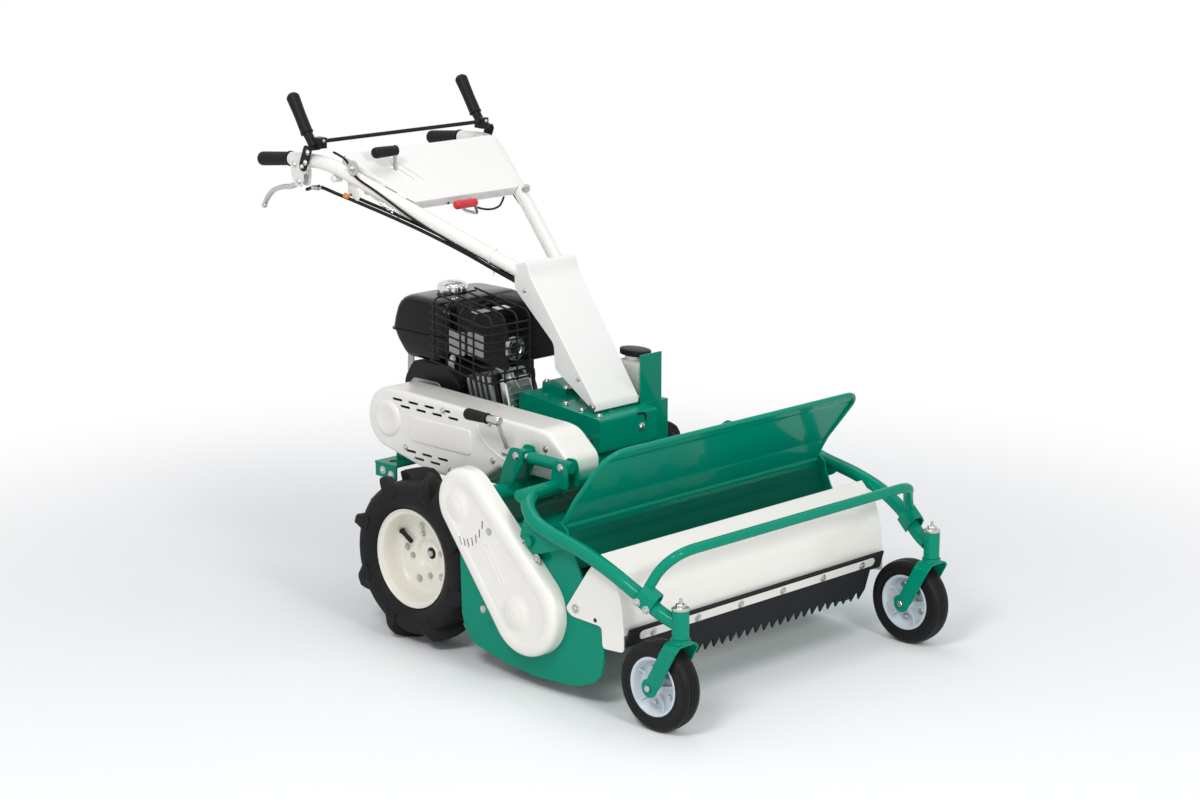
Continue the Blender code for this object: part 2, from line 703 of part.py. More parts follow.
def front_hood():
    """Curved sheet over the front, closed by a cheek on each side."""
    hood = sheet("front_hood", HOOD_ARC, -HOOD_HALF, HOOD_HALF, SHEET)
    cheek = [*HOOD_ARC, (0.154, 0.150), (0.218, 0.146), (0.221, 0.194), (0.313, 0.198), (0.332, 0.212),
             (0.262, 0.312)]
    for side in (NEAR, FAR):
        low, high = sorted((side * (HOOD_HALF - 0.0035), side * HOOD_HALF))
        join(hood, side_plate("hood_cheek_" + SIDE_NAMES[side], cheek, low, high))
    return finish(hood, "white enamel")


def flap_place(ahead):
    """The flap's plane, hung from its top edge; ahead is a distance in front of it."""
    top = Matrix.Translation(at(0, FLAP_STATION, FLAP_TOP_Z))
    lean = Matrix.Rotation(FLAP_LEAN + math.pi / 2, 4, "X")
    return top @ lean @ Matrix.Translation((0, -FLAP_TOP_Z, ahead))


def front_flap():
    """Rubber sheet that leans back towards its toothed edge, its corners cut short over the casters."""
    pitch = 2 * TOOTHED_HALF / FLAP_TEETH
    outline = [(FLAP_HALF, FLAP_TOP_Z), (-FLAP_HALF, FLAP_TOP_Z), (-FLAP_HALF, FLAP_CORNER_Z),
               (-TOOTHED_HALF, FLAP_CORNER_Z)]
    for tooth in range(FLAP_TEETH):
        left = -TOOTHED_HALF + tooth * pitch
        outline += [(left, FLAP_ROOT_Z), (left + pitch / 2, FLAP_TIP_Z)]
    outline += [(TOOTHED_HALF, FLAP_ROOT_Z), (TOOTHED_HALF, FLAP_CORNER_Z), (FLAP_HALF, FLAP_CORNER_Z)]
    return finish(flat_plate("front_flap", outline, 0.005, flap_place(0.0)), "black rubber")


def flap_strip():
    outline = capsule((-0.385, 0.183), 0.0105, (0.385, 0.183), 0.0105, 12)
    return finish(flat_plate("flap_strip", outline, 0.0030, flap_place(0.0045)), "white enamel")


def deck_cover():
    """Raised front cover: a sheet with a rolled rim, on its hinge barrel."""
    rise = Vector((COVER_TOP[0] - COVER_HINGE[0], COVER_TOP[1] - COVER_HINGE[1]))
    length = rise.length
    corner = 0.050
    outline = [(-COVER_HALF, 0.0), (COVER_HALF, 0.0)]
    outline += arc((COVER_HALF - corner, length - corner), corner, 0, 90, 4)
    outline += arc((-COVER_HALF + corner, length - corner), corner, 90, 180, 4)
    tilt = math.atan2(rise.y, rise.x)
    turn = Matrix.Rotation(tilt, 4, "X")
    place = Matrix.Translation(at(0, *COVER_HINGE)) @ turn
    cover = flat_plate("deck_cover", outline, 0.0030, place)
    path = [(COVER_HALF, -0.002), *outline[2:], (-COVER_HALF, -0.002)]
    rim = [place @ Vector((u, v, 0.0)) for u, v in path]
    reach = COVER_HALF + 0.0062
    join(cover, tube("cover_rim", rim, 0.0055, 1))
    join(cover, cross_rod("cover_barrel", 0.0080, COVER_HINGE, -reach, reach, 12))
    for side in (NEAR, FAR):
        ends = sorted((side * 0.4170, side * 0.430))
        cut(cover, cross_rod("barrel_bore_" + SIDE_NAMES[side], 0.0045, COVER_HINGE, *ends, 10))
    return finish(cover, "green enamel")


def side_cover():
    """White shell over the rotor drive, open towards the deck, with a boss on each axis."""
    outer_x, inner_x = SIDE_COVER_X
    upper, lower = SIDE_COVER_RADII
    cover = side_plate("side_cover", capsule((0.630, 0.397), upper, ROTOR_AXIS, lower, 20), outer_x, inner_x)
    soften(cover, 0.006)
    hollow = capsule((0.630, 0.397), upper - 0.003, ROTOR_AXIS, lower - 0.003, 20)
    for label, axis, radius in (("upper", (0.634, 0.395), 0.030), ("lower", (0.440, 0.182), 0.034)):
        root, face = at(outer_x + 0.002, *axis), at(outer_x - 0.006, *axis)
        join(cover, rod("side_boss_" + label, radius, root, face, 12, radius - 0.006))
    cut(cover, side_plate("side_cover_hollow", hollow, outer_x + 0.003, inner_x + 0.01))
    return finish(cover, "white enamel")


def rotor_pulley(name, axis, radius, bore):
    """Two-flanged pulley for the rotor belt, on a shaft along X."""
    low, high = ROTOR_BELT_X
    half = (high - low) / 2
    groove = radius - 0.006
    profile = [(half, bore), (half, radius), (half - 0.002, radius), (half - 0.004, groove), (0.004 - half, groove),
               (0.002 - half, radius), (-half, radius), (-half, bore)]
    centre = at((low + high) / 2, *axis)
    return finish(turned(name, profile, centre, steps=14, closed=True), "bare steel")


def belt(name, first, first_radius, second, second_radius, x_range, thickness):
    """Loop round two groove radii, standing a little off them so that its flats clear too."""
    clear = 1 / math.cos(math.pi / 16)
    inner = capsule(first, first_radius * clear, second, second_radius * clear, 16)
    outer = capsule(first, first_radius * clear + thickness, second, second_radius * clear + thickness, 16)
    loop = side_plate(name, outer, *x_range)
    low, high = x_range
    cut(loop, side_plate(name + "_inside", inner, low - 0.01, high + 0.01))
    return finish(loop, "black rubber")


def cross_shaft():
    end = ROTOR_BELT_X[0] - 0.003
    shaft = cross_rod("cross_shaft", CROSS_SHAFT_RADIUS, CROSS_AXIS, end, -0.020, 12)
    return finish(shaft, "bare steel")


def rotor():
    """Drum with shaft ends and three discs that carry the knife rods."""
    drum, disc, shaft = 0.042, 0.088, 0.0125
    right_end, left_end = 0.446, -0.4655
    profile = [(right_end, 0.0), (right_end, shaft), (0.404, shaft), (0.404, drum)]
    for along in (0.396, 0.0, -0.396):
        half = 0.004
        profile += [(along + half, drum), (along + half, disc), (along - half, disc), (along - half, drum)]
    profile += [(-0.404, drum), (-0.404, shaft), (left_end, shaft), (left_end, 0.0)]
    body = turned("rotor", profile, at(0, *ROTOR_AXIS), steps=12)
    for row in range(KNIFE_ROWS):
        cut(body, cross_rod("rod_hole_%d" % row, 0.0065, knife_axis(row), -0.42, 0.42, 6))
    return finish(body, "bare steel")


def knife_axis(row):
    angle = math.radians(-90 + row * 360 / KNIFE_ROWS)
    return (ROTOR_AXIS[0] + KNIFE_ROD_RADIUS * math.cos(angle), ROTOR_AXIS[1] + KNIFE_ROD_RADIUS * math.sin(angle))


def knife_row(row):
    """A rod through the discs with its hammer knives, spread between them."""
    name = "knife_row_%d" % (row + 1)
    axis = knife_axis(row)
    body = cross_rod(name, 0.0055, axis, -0.405, 0.405, 6)
    length = KNIFE_TIP_RADIUS - KNIFE_ROD_RADIUS + 0.008
    turn = Matrix.Rotation(math.radians(row * 360 / KNIFE_ROWS), 4, "X")
    knives = []
    for index in range(KNIVES_PER_ROW):
        x = -0.340 + index * 0.680 / (KNIVES_PER_ROW - 1)
        centre = at(x, *axis) + turn @ Vector((0, 0, 0.008 - length / 2))
        knives.append(((0.042, 0.009, length), centre, turn))
    join(body, boxes(name + "_knives", knives))
    return finish(body, "bare steel")


def bearing_cap():
    """Cover over the rotor bearing on the far side plate."""
    profile = [(0.016, 0.0), (0.016, 0.030), (0.006, 0.042), (0.0, 0.048), (0.0, 0.0165), (0.013, 0.0165),
               (0.013, 0.0)]
    inner_face = DECK_HALF + PLATE / 2 + GAP
    cap = turned("rotor_bearing_cap", profile, at(inner_face, *ROTOR_AXIS), steps=16)
    return finish(cap, "cast aluminium")


def build_cutter_head():
    mower_deck()
    front_hood()
    front_flap()
    flap_strip()
    side_cover()
    bearing_cap()
    carry(joint_at("cover_hinge_axis", at(0, *COVER_HINGE)), deck_cover())
    upper, lower = ROTOR_PULLEY_RADII
    drive = joint_at("cross_shaft_axis", at(0, *CROSS_AXIS))
    carry(drive, cross_shaft(), rotor_pulley("upper_rotor_pulley", CROSS_AXIS, upper, CROSS_SHAFT_RADIUS + 0.0006))
    spin = joint_at("rotor_axis", at(0, *ROTOR_AXIS))
    carry(spin, rotor(), rotor_pulley("lower_rotor_pulley", ROTOR_AXIS, lower, 0.0125 + 0.0007))
    for row in range(KNIFE_ROWS):
        swing = joint_at("knife_axis_%d" % (row + 1), at(0, *knife_axis(row)), spin)
        carry(swing, knife_row(row))
    low, high = ROTOR_BELT_X
    belt("rotor_belt", CROSS_AXIS, upper - 0.0055, ROTOR_AXIS, lower - 0.0055, (low + 0.0045, high - 0.0045), 0.008)


# Chassis


def cross_tube():
    """Tube from the transmission to the head, with the clevis that holds the crank."""
    reach = DECK_HALF - PLATE / 2 - GAP
    tube_body = cross_rod("cross_tube", CROSS_TUBE_RADIUS, CROSS_AXIS, -reach, reach, 14)
    outline = rounded([(0.618, 0.405), (0.654, 0.405), (0.642, 0.450), (0.612, 0.507), (0.578, 0.507), (0.574, 0.475)],
                      0.010, 2)
    for index, x in enumerate((LIFT_X - 0.023, LIFT_X + 0.019)):
        join(tube_body, side_plate("tower_plate_%d" % index, outline, x, x + 0.004))
    block = box("tower_block", (0.042, 0.024, 0.030), at(LIFT_X, 0.594, SCREW_Z))
    join(tube_body, block)
    cut(tube_body, rod("tower_bore", SCREW_RADIUS + GAP, at(LIFT_X, 0.578, SCREW_Z), at(LIFT_X, 0.610, SCREW_Z), 12))
    cut(tube_body, cross_rod("cross_tube_bore", CROSS_TUBE_BORE, CROSS_AXIS, -0.45, 0.45, 14))
    return finish(tube_body, "green enamel")


def transmission_case():
    """Gear case down to the axle, its axle tubes, and the guard by the oil reservoir."""
    outline = [(0.565, 0.5340), (0.565, 0.455), (0.618, 0.440), (0.690, 0.340), (0.780, 0.290), (0.826, 0.200),
               (0.840, 0.150), (0.906, 0.150), (0.925, 0.200), (0.915, 0.300), (0.905, 0.330), (0.842, 0.333),
               (0.836, 0.560), (0.790, 0.556)]
    case = side_plate("transmission_case", rounded(outline, 0.010, 2), -BOX_HALF, BOX_HALF)
    lid = box("case_lid", (0.110, 0.080, 0.020), at(0.030, 0.790, 0.560), Matrix.Rotation(math.radians(5.5), 4, "X"))
    axle = cross_rod("axle_tube", 0.030, (AXLE_STATION, TYRE_RADIUS), -0.322, 0.322, 12)
    guard = box("reservoir_guard", (0.071, 0.004, 0.215), at(0.1145, 0.606, 0.5475))
    guard_foot = box("reservoir_guard_foot", (0.089, 0.030, 0.106), at(0.1235, 0.615, 0.486))
    guard_side = box("reservoir_guard_side", (0.004, 0.110, 0.100), at(0.148, 0.660, 0.585))
    shelf = box("reservoir_shelf", (0.070, 0.120, 0.006), at(0.115, 0.664, 0.544))
    lug = box("cross_tube_lug", (0.150, 0.056, 0.080), at(0, 0.640, 0.400))
    join(case, lid, axle, guard_foot, guard, guard_side, shelf, lug)
    cut(case, cross_rod("cross_tube_hole", CROSS_TUBE_RADIUS + GAP, CROSS_AXIS, -0.2, 0.2, 14))
    for side in (NEAR, FAR):
        low, high = sorted((side * 0.180, side * 0.330))
        axle_axis = (AXLE_STATION, TYRE_RADIUS)
        cut(case, cross_rod("axle_bore_" + SIDE_NAMES[side], AXLE_RADIUS + 0.001, axle_axis, low, high, 12))
    return finish(case, "green enamel")


def main_frame():
    """Two rails with cross members, the engine plate and the belt case's back plate."""
    low, high = RAIL_Z
    middle = (low + high) / 2
    first = 0.690
    last = 1.235
    specs = []
    still = Matrix.Identity(4)
    for x in (-RAIL_X, RAIL_X):
        specs.append(((0.040, last - first, high - low), at(x, (first + last) / 2, middle), still))
    frame = boxes("main_frame", specs)
    for index, station in enumerate((0.955, 1.215)):
        join(frame, box("frame_member_%d" % index, (0.24, 0.030, 0.030), at(0, station, middle)))
    join(frame, box("engine_plate", (0.290, 0.240, 0.005), at(0.0, 1.085, high - 0.001)))
    join(frame, side_plate("belt_case_back", belt_case_outline(0.0), -0.1795, -0.1765))
    join(frame, box("back_plate_arm", (0.064, 0.060, 0.016), at(-0.1475, 1.020, middle + 0.008)))
    join(frame, box("back_plate_tab", (0.028, 0.040, 0.044), at(-0.1655, 1.020, middle + 0.026)))
    cut(frame, cross_rod("crank_hole", 0.024, CRANK_AXIS, -0.19, -0.17))
    cut(frame, cross_rod("input_hole", 0.016, INPUT_AXIS, -0.19, -0.17))
    return finish(frame, "green enamel")


def belt_case_outline(inset):
    """Round at the engine end, deep over the wheel and narrow over the cross tube."""
    rear = arc((1.102, 0.480), 0.0755 - inset, 92, -70, 8)
    lower = [(0.960, 0.372 + inset), (0.800, 0.372 + inset), (0.715 + inset, 0.428 + inset)]
    front = rounded([lower[-1], (0.510 + inset, 0.428 + inset), (0.486 + inset, 0.455), (0.487 + inset, 0.486),
                     (0.545 + inset / 2, 0.5345 - inset / 2), (0.570, 0.5415 - inset)], 0.012, 1)
    return (rear + lower + front[2:-2] + [(0.580, 0.5420 - inset)])[::-1]


def belt_case():
    """White shell over the main belt, open towards the engine, with a boss at the rear."""
    outer_x, inner_x = BELT_CASE_X
    case = side_plate("belt_case", belt_case_outline(0.0), outer_x, inner_x)
    soften(case, 0.009)
    boss = rod("case_boss", 0.045, at(outer_x + 0.002, *CRANK_AXIS), at(outer_x - 0.007, *CRANK_AXIS), 16, 0.035)
    join(case, boss)
    cut(case, side_plate("belt_case_hollow", belt_case_outline(0.003), outer_x + 0.003, inner_x + 0.01))
    return finish(case, "white enamel")


def main_pulley(name, axis, radius, reach, step=None):
    """Pulley with two belt grooves and its shaft; the shaft runs inwards to reach."""
    low, high = MAIN_BELT_X
    half = (high - low) / 2 + 0.003
    centre = at((low + high) / 2, *axis)
    shaft = 0.0125
    end = reach - (low + high) / 2
    profile = [(end, 0.0), (end, shaft), (half, shaft), (half, radius), (half - 0.003, radius),
               (half - 0.005, radius - 0.009), (0.005 - half, radius - 0.009), (0.003 - half, radius),
               (-half, radius), (-half, 0.0)]
    return finish(turned(name, profile, centre, steps=14), "bare steel")


def rear_hitch():
    """Angle bracket under the rear of the rails, with a hole in its top."""
    top = box("rear_hitch", (0.384, 0.080, 0.006), at(0, 1.212, 0.3305))
    for side in (NEAR, FAR):
        join(top, box("hitch_cheek_" + SIDE_NAMES[side], (0.006, 0.076, 0.032), at(side * 0.189, 1.212, 0.3130)))
    cut(top, rod("hitch_hole", 0.010, at(-0.163, 1.215, 0.320), at(-0.163, 1.215, 0.340)))
    return finish(top, "green enamel")


def oil_reservoir():
    """Bottle on the shelf behind the guard, with its cap."""
    x, station = RESERVOIR_CENTRE
    bottle = rod("oil_reservoir", 0.020, at(x - 0.012, station, 0.620), at(x - 0.012, station, 0.648), 14)
    body = soften(box("bottle_body", (0.054, 0.090, 0.082), at(x - 0.013, station, 0.5885)), 0.010)
    cap = rod("bottle_cap", 0.045, at(x, station + 0.006, 0.640), at(x, station + 0.006, 0.655), 16)
    join(bottle, body, cap)
    return finish(bottle, "clear grey plastic")


def build_chassis():
    cross_tube()
    transmission_case()
    main_frame()
    belt_case()
    rear_hitch()
    oil_reservoir()
    engine_end, input_end = MAIN_PULLEY_RADII
    crank = joint_at("engine_crank_axis", at(0, *CRANK_AXIS))
    carry(crank, main_pulley("engine_pulley", CRANK_AXIS, engine_end, -0.141))
    take_off = joint_at("input_pulley_axis", at(0, *INPUT_AXIS))
    carry(take_off, main_pulley("input_pulley", INPUT_AXIS, input_end, -BOX_HALF - 0.0005))
    low, high = MAIN_BELT_X
    belt("main_belt", CRANK_AXIS, engine_end - 0.0085, INPUT_AXIS, input_end - 0.0085, (low + 0.0035, high - 0.0035),
         0.010)


# Engine


def engine_block():
    """Crankcase on its base, with the finned cylinder leaning forward."""
    base = ENGINE_BASE_Z + 0.002
    outline = rounded([(1.000, base), (1.180, base), (1.184, 0.548), (1.150, 0.598), (1.030, 0.598), (0.985, 0.560)],
                      0.015, 2)
    block = side_plate("engine_block", outline, -0.150, 0.105)
    tilt = Matrix.Rotation(math.radians(-14), 4, "X")
    centre = at(-0.075, 0.945, 0.528)
    join(block, box("cylinder", (0.095, 0.140, 0.095), centre, tilt))
    fins = []
    for index in range(5):
        place = centre + tilt @ Vector((0, -0.058 + index * 0.018, 0))
        fins.append(((0.120, 0.006, 0.120), place, tilt))
    join(block, boxes("cylinder_fins", fins))
    cut(block, cross_rod("crank_bore", 0.0130, CRANK_AXIS, -0.160, -0.135))
    return finish(block, "cast aluminium")


def valve_cover():
    tilt = Matrix.Rotation(math.radians(-14), 4, "X")
    cover = box("valve_cover", (0.092, 0.026, 0.086), at(-0.075, 0.8636, 0.5482), tilt)
    soften(cover, 0.011, 2)
    return finish(cover, "cast aluminium")


def fuel_tank():
    outline = rounded([(1.014, 0.630), (1.014, 0.742), (1.050, 0.754), (1.140, 0.755), (1.188, 0.744), (1.216, 0.664),
                       (1.192, 0.604), (1.040, 0.601)], 0.012, 2)
    tank = side_plate("fuel_tank", outline, -0.168, 0.110)
    soften(tank, 0.018, 2)
    x, station, z = CAP_CENTRE
    join(tank, rod("filler_neck", 0.044, at(x, station, z - 0.010), at(x, station, z + 0.0065), 20, 0.037))
    return finish(tank, "black enamel")


def fuel_cap():
    x, station, z = CAP_CENTRE
    cap = rod("fuel_cap", 0.0375, at(x, station, z + 0.0068), at(x, station, z + 0.0285), 20, 0.0365)
    soften(cap, 0.003)
    return finish(cap, "zinc plated steel")


def muffler():
    """Box over the cylinder, its outlet on the front face."""
    outline = rounded([(0.830, 0.616), (0.830, 0.720), (0.862, 0.742), (1.004, 0.762), (1.004, 0.640)], 0.010, 2)
    body = side_plate("muffler", outline, -0.205, -0.065)
    soften(body, 0.008)
    outlet = at(-0.116, 0.830, 0.668)
    join(body, rod("outlet_ring", 0.028, outlet + Vector((0, 0.004, 0)), outlet - Vector((0, 0.007, 0)), 20))
    cut(body, rod("outlet_bore", 0.016, outlet + Vector((0, 0.006, 0)), outlet - Vector((0, 0.012, 0)), 6))
    return finish(body, "black enamel")


def muffler_guard():
    """Wire cage round the near side, the front and the top of the muffler."""
    near_x, far_x = -0.228, -0.048
    front, rear = 0.806, 1.000
    wire = 0.0024
    slope = 0.16

    def raised(base, station):
        return base + slope * (station - front)

    hoops = []
    for index, base in enumerate((0.602, 0.640, 0.678, 0.716)):
        corners = [at(near_x, rear, raised(base, rear)), at(near_x, front, base), at(far_x, front, base)]
        hoops.append(tube("cage_hoop_%d" % index, bent_path(corners, 0.018, 1), wire, 0))
    guard = hoops[0]
    guard.name = "muffler_guard"
    ribs = []
    top = 0.752
    inside = 0.0037
    for index, station in enumerate((0.990, 0.898)):
        height = raised(top, station)
        near = near_x + inside
        corners = [at(near, station, raised(0.596, station)), at(near, station, height), at(far_x, station, height)]
        ribs.append(tube("cage_side_rib_%d" % index, bent_path(corners, 0.014, 1), wire, 0))
    for index, x in enumerate((-0.180, -0.085)):
        start = front + inside
        corners = [at(x, start, 0.596), at(x, start, top + inside), at(x, 0.998, raised(top, 0.998) + inside)]
        ribs.append(tube("cage_front_rib_%d" % index, bent_path(corners, 0.014, 1), wire, 0))
    join(guard, *hoops[1:], *ribs)
    return finish(guard, "black enamel")


def air_cleaner():
    cleaner = box("air_cleaner", (0.140, 0.130, 0.150), at(0.032, 0.930, 0.690))
    soften(cleaner, 0.018, 2)
    join(cleaner, box("carburettor", (0.050, 0.050, 0.060), at(0.020, 0.955, 0.590)))
    return finish(cleaner, "black enamel")


def recoil_starter():
    """Fan housing on the far end of the crank, with the rope guide."""
    profile = [(0.056, 0.0), (0.056, 0.050), (0.048, 0.066), (0.034, 0.088), (0.0, 0.098), (0.0, 0.0)]
    starter = turned("recoil_starter", profile, at(0.1055, *CRANK_AXIS), steps=24)
    join(starter, box("rope_guide", (0.026, 0.046, 0.026), at(0.126, 1.193, 0.545)))
    return finish(starter, "black enamel")


def starter_grip():
    grip = soften(box("starter_grip", (0.060, 0.014, 0.018), at(0.126, 1.2235, 0.545)), 0.004)
    return finish(grip, "black rubber")


def build_engine():
    engine_block()
    valve_cover()
    fuel_tank()
    muffler()
    muffler_guard()
    air_cleaner()
    recoil_starter()
    carry(joint_at("fuel_cap_axis", at(*CAP_CENTRE)), fuel_cap())
    carry(joint_at("starter_rope_axis", at(0.126, 1.2165, 0.545)), starter_grip())


# Handle


def column_side(inset):
    """Side view of the column cover; the inset leaves the wall at its front and top."""
    front = [(0.594, 0.5400), (0.602, 0.554), (0.718, 0.710), (0.812, 0.836), (0.822, 0.872)]
    rear = [(0.866, 0.858), (0.866, 0.800), (0.738, 0.686), (0.736, 0.626)]
    if inset:
        front = [(0.609, 0.530), (0.612, 0.554), (0.722, 0.705), (0.816, 0.830), (0.826, 0.868)]
        rear = [(0.900, 0.850), (0.900, 0.700), (0.800, 0.530)]
    return front + rear


def widen(obj, low_z, high_z, growth):
    """Spread a straight-sided piece so that it is wider at its top."""
    for vert in obj.data.vertices:
        share = (vert.co.z - low_z) / (high_z - low_z)
        vert.co.x *= 1 + growth * share
    return obj


def column_cover():
    cover = widen(side_plate("column_cover", column_side(False), -0.072, 0.072), 0.540, 0.872, 0.12)
    soften(cover, 0.006)
    hollow = widen(side_plate("column_hollow", column_side(True), -0.0695, 0.0695), 0.540, 0.872, 0.12)
    cut(cover, hollow, *handle_notches("column"))
    return finish(cover, "white enamel")


def handle_side_path(side):
    stops = [(0.053, 0.838, 0.828), (0.150, 1.046, 0.936), (0.262, 1.296, 1.066), (0.277, 1.350, 1.076),
             (0.277, 1.438, 1.072)]
    return bent_path([at(side * x, station, z) for x, station, z in stops], 0.050, 2)


def handle_notches(name):
    """Cutters that let the handle tubes pass with a small gap."""
    return [rod("%s_notch_%s" % (name, SIDE_NAMES[side]), TUBE_RADIUS + 0.003, at(side * 0.045, 0.820, 0.819),
                at(side * 0.2714, 1.310, 1.0743), 12) for side in (NEAR, FAR)]


def handle_frame():
    """Post inside the column, the two long tubes, grip brackets and the panel's cross members."""
    post = tube("handle_frame", [at(0, 0.660, 0.5465), at(0, 0.660, 0.562), at(0, 0.700, 0.625), at(0, 0.843, 0.822)],
                0.026, 2)
    join(post, box("handle_yoke", (0.116, 0.034, 0.040), at(0, 0.843, 0.824)))
    for side in (NEAR, FAR):
        label = SIDE_NAMES[side]
        x = side * GRIP_X
        join(post, tube("handle_tube_" + label, handle_side_path(side), TUBE_RADIUS))
        join(post, box("lever_bracket_" + label, (0.030, 0.042, 0.066), at(x, 1.406, 1.041)))
        pin = cross_rod("bail_pin_" + label, 0.0050, BAIL_PIVOT, *sorted((side * 0.280, side * 0.3035)), 10)
        boss = cross_rod("bail_boss_" + label, 0.0090, BAIL_PIVOT, *sorted((side * 0.280, side * 0.2955)), 12)
        join(post, pin, boss)
        cut(post, box("lever_slot_" + label, (0.0175, 0.080, 0.036), at(x, 1.410, 1.021)))
        join(post, cross_rod("lever_pin_" + label, 0.0030, LEVER_PIVOT, x - 0.015, x + 0.015, 8))
    for index, (reach, axis) in enumerate(((0.206, RED_PIVOT), (0.228, SPEED_PIVOT))):
        join(post, cross_rod("panel_member_%d" % index, MEMBER_RADIUS, axis, -reach, reach, 12))
    return finish(post, "white enamel")


def panel_place():
    """The panel's own plane: across X, and up the slope from its lower edge."""
    low, high = Vector(PANEL_LOW), Vector(PANEL_TOP)
    slope = math.atan2(high.z - low.z, high.y - low.y)
    return Matrix.Translation(at(0, low.y, low.z)) @ Matrix.Rotation(slope, 4, "X")


def control_panel():
    """Shallow tray turned over, with slots for the speed lever."""
    low, high = Vector(PANEL_LOW), Vector(PANEL_TOP)
    length = math.hypot(high.y - low.y, high.z - low.z)
    place = panel_place()
    outline = [(-low.x, 0.0), (low.x, 0.0), (high.x, length), (-high.x, length)]
    wall = 0.003
    drop = Matrix.Translation((0, 0, -PANEL_DEPTH / 2))
    panel = flat_plate("control_panel", rounded(outline, 0.014, 2), PANEL_DEPTH, place @ drop)
    soften(panel, 0.006, 2)
    inside = [(-low.x + wall, wall), (low.x - wall, wall), (high.x - wall, length - wall),
              (-high.x + wall, length - wall)]
    lower = Matrix.Translation((0, 0, -PANEL_DEPTH / 2 - wall))
    hollow = flat_plate("panel_hollow", inside, PANEL_DEPTH, place @ lower)
    slots = []
    for size, (across, up) in (((0.014, 0.066, 0.020), (-0.1290, 0.108)), ((0.004, 0.105, 0.020), (-0.1055, 0.122))):
        turn = place.to_3x3().to_4x4() @ Matrix.Rotation(math.radians(22), 4, "Z")
        slots.append((size, place @ Vector((across, up, 0)), turn))
    cut(panel, hollow, boxes("panel_slots", slots), *handle_notches("panel"))
    return finish(panel, "white enamel")


def speed_lever():
    """Flat arm up through the slot with a level knob."""
    top = at(SPEED_X, SPEED_PIVOT[0], 1.099)
    lever = box("speed_lever", (0.005, 0.010, 0.092), at(SPEED_X, SPEED_PIVOT[0], 1.057))
    knob = rod("speed_knob", 0.0115, top + Vector((0.002, 0, 0)), top - Vector((0.066, 0, 0)), 12, 0.0135)
    boss = cross_rod("speed_boss", 0.0125, SPEED_PIVOT, SPEED_X - 0.008, SPEED_X + 0.008, 12)
    join(lever, knob, boss)
    cut(lever, cross_rod("speed_bore", MEMBER_RADIUS + GAP, SPEED_PIVOT, SPEED_X - 0.02, SPEED_X + 0.02, 12))
    return finish(lever, "black rubber")


def red_lever():
    """Red grip in front of the panel's lower edge, on an arm from below the panel."""
    grip_centre = at(-0.034, 1.084, 0.9735)
    half = Vector((0.034, 0, 0))
    lever = rod("red_lever", 0.0110, grip_centre - half, grip_centre + half, 14)
    corners = [at(-0.006, 1.084, 0.9735), at(0.014, 1.092, 0.943), at(0.014, 1.140, 0.945), at(0.014, 1.175, 0.9720)]
    arm = tube("red_lever_arm", bent_path(corners, 0.012, 2), 0.004, 1)
    boss = cross_rod("red_lever_boss", 0.0125, RED_PIVOT, 0.006, 0.022, 12)
    join(lever, arm, boss)
    cut(lever, cross_rod("red_lever_bore", MEMBER_RADIUS + GAP, RED_PIVOT, -0.010, 0.040, 12))
    return finish(lever, "red plastic")


def control_bail():
    """Twin upright levers with their grips, tied by a rod and hung on the handle tubes."""
    rod_axis = (1.342, 1.122)
    bail = cross_rod("control_bail", 0.0050, rod_axis, -0.270, 0.270, 8)
    for side in (NEAR, FAR):
        label = SIDE_NAMES[side]
        x = side * 0.2755
        foot = at(x, 1.355, 1.108)
        collar = at(x, 1.384, 1.144)
        tip = at(x - side * 0.001, 1.438, 1.229)
        join(bail, rod("upright_" + label, 0.0120, foot, collar, 12))
        join(bail, rod("upright_grip_" + label, 0.0155, collar - Vector((0, 0.003, 0.005)), tip, 14, 0.0170))
        join(bail, box("rod_block_" + label, (0.026, 0.030, 0.026), at(side * 0.2650, 1.348, 1.118)))
        outline = rounded([(1.336, 1.106), (1.364, 1.116), (1.386, 1.064), (1.380, 1.050), (1.362, 1.050)], 0.006, 2)
        low, high = sorted((side * 0.2962, side * 0.3002))
        join(bail, side_plate("bail_tab_" + label, outline, low, high))
        join(bail, box("bail_bridge_" + label, (0.034, 0.018, 0.010), at(side * 0.2840, 1.352, 1.1065)))
        cut(bail, cross_rod("bail_hole_" + label, 0.0055, BAIL_PIVOT, *sorted((side * 0.290, side * 0.306)), 10))
    return finish(bail, "black enamel")


def hand_lever(side):
    """Cast lever below the grip, hooked down at its tip."""
    name = "hand_lever_" + SIDE_NAMES[side]
    top = [(1.388, 1.031), (1.404, 1.031), (1.440, 1.012), (1.480, 1.004), (1.520, 0.990), (1.548, 0.962),
           (1.556, 0.942)]
    low = [(1.548, 0.940), (1.536, 0.958), (1.512, 0.980), (1.476, 0.992), (1.436, 0.998), (1.402, 1.010),
           (1.388, 1.013)]
    x = side * GRIP_X
    lever = side_plate(name, top + low, x - 0.008, x + 0.008)
    cut(lever, cross_rod(name + "_bore", 0.0034, LEVER_PIVOT, x - 0.02, x + 0.02, 8))
    return finish(lever, "cast aluminium")


def hand_grip(side):
    x = side * GRIP_X
    grip = rod("hand_grip_" + SIDE_NAMES[side], GRIP_RADIUS, at(x, 1.4415, 1.0718), at(x, 1.560, 1.060), 14, 0.0175)
    soften(grip, 0.004)
    return finish(grip, "black rubber")


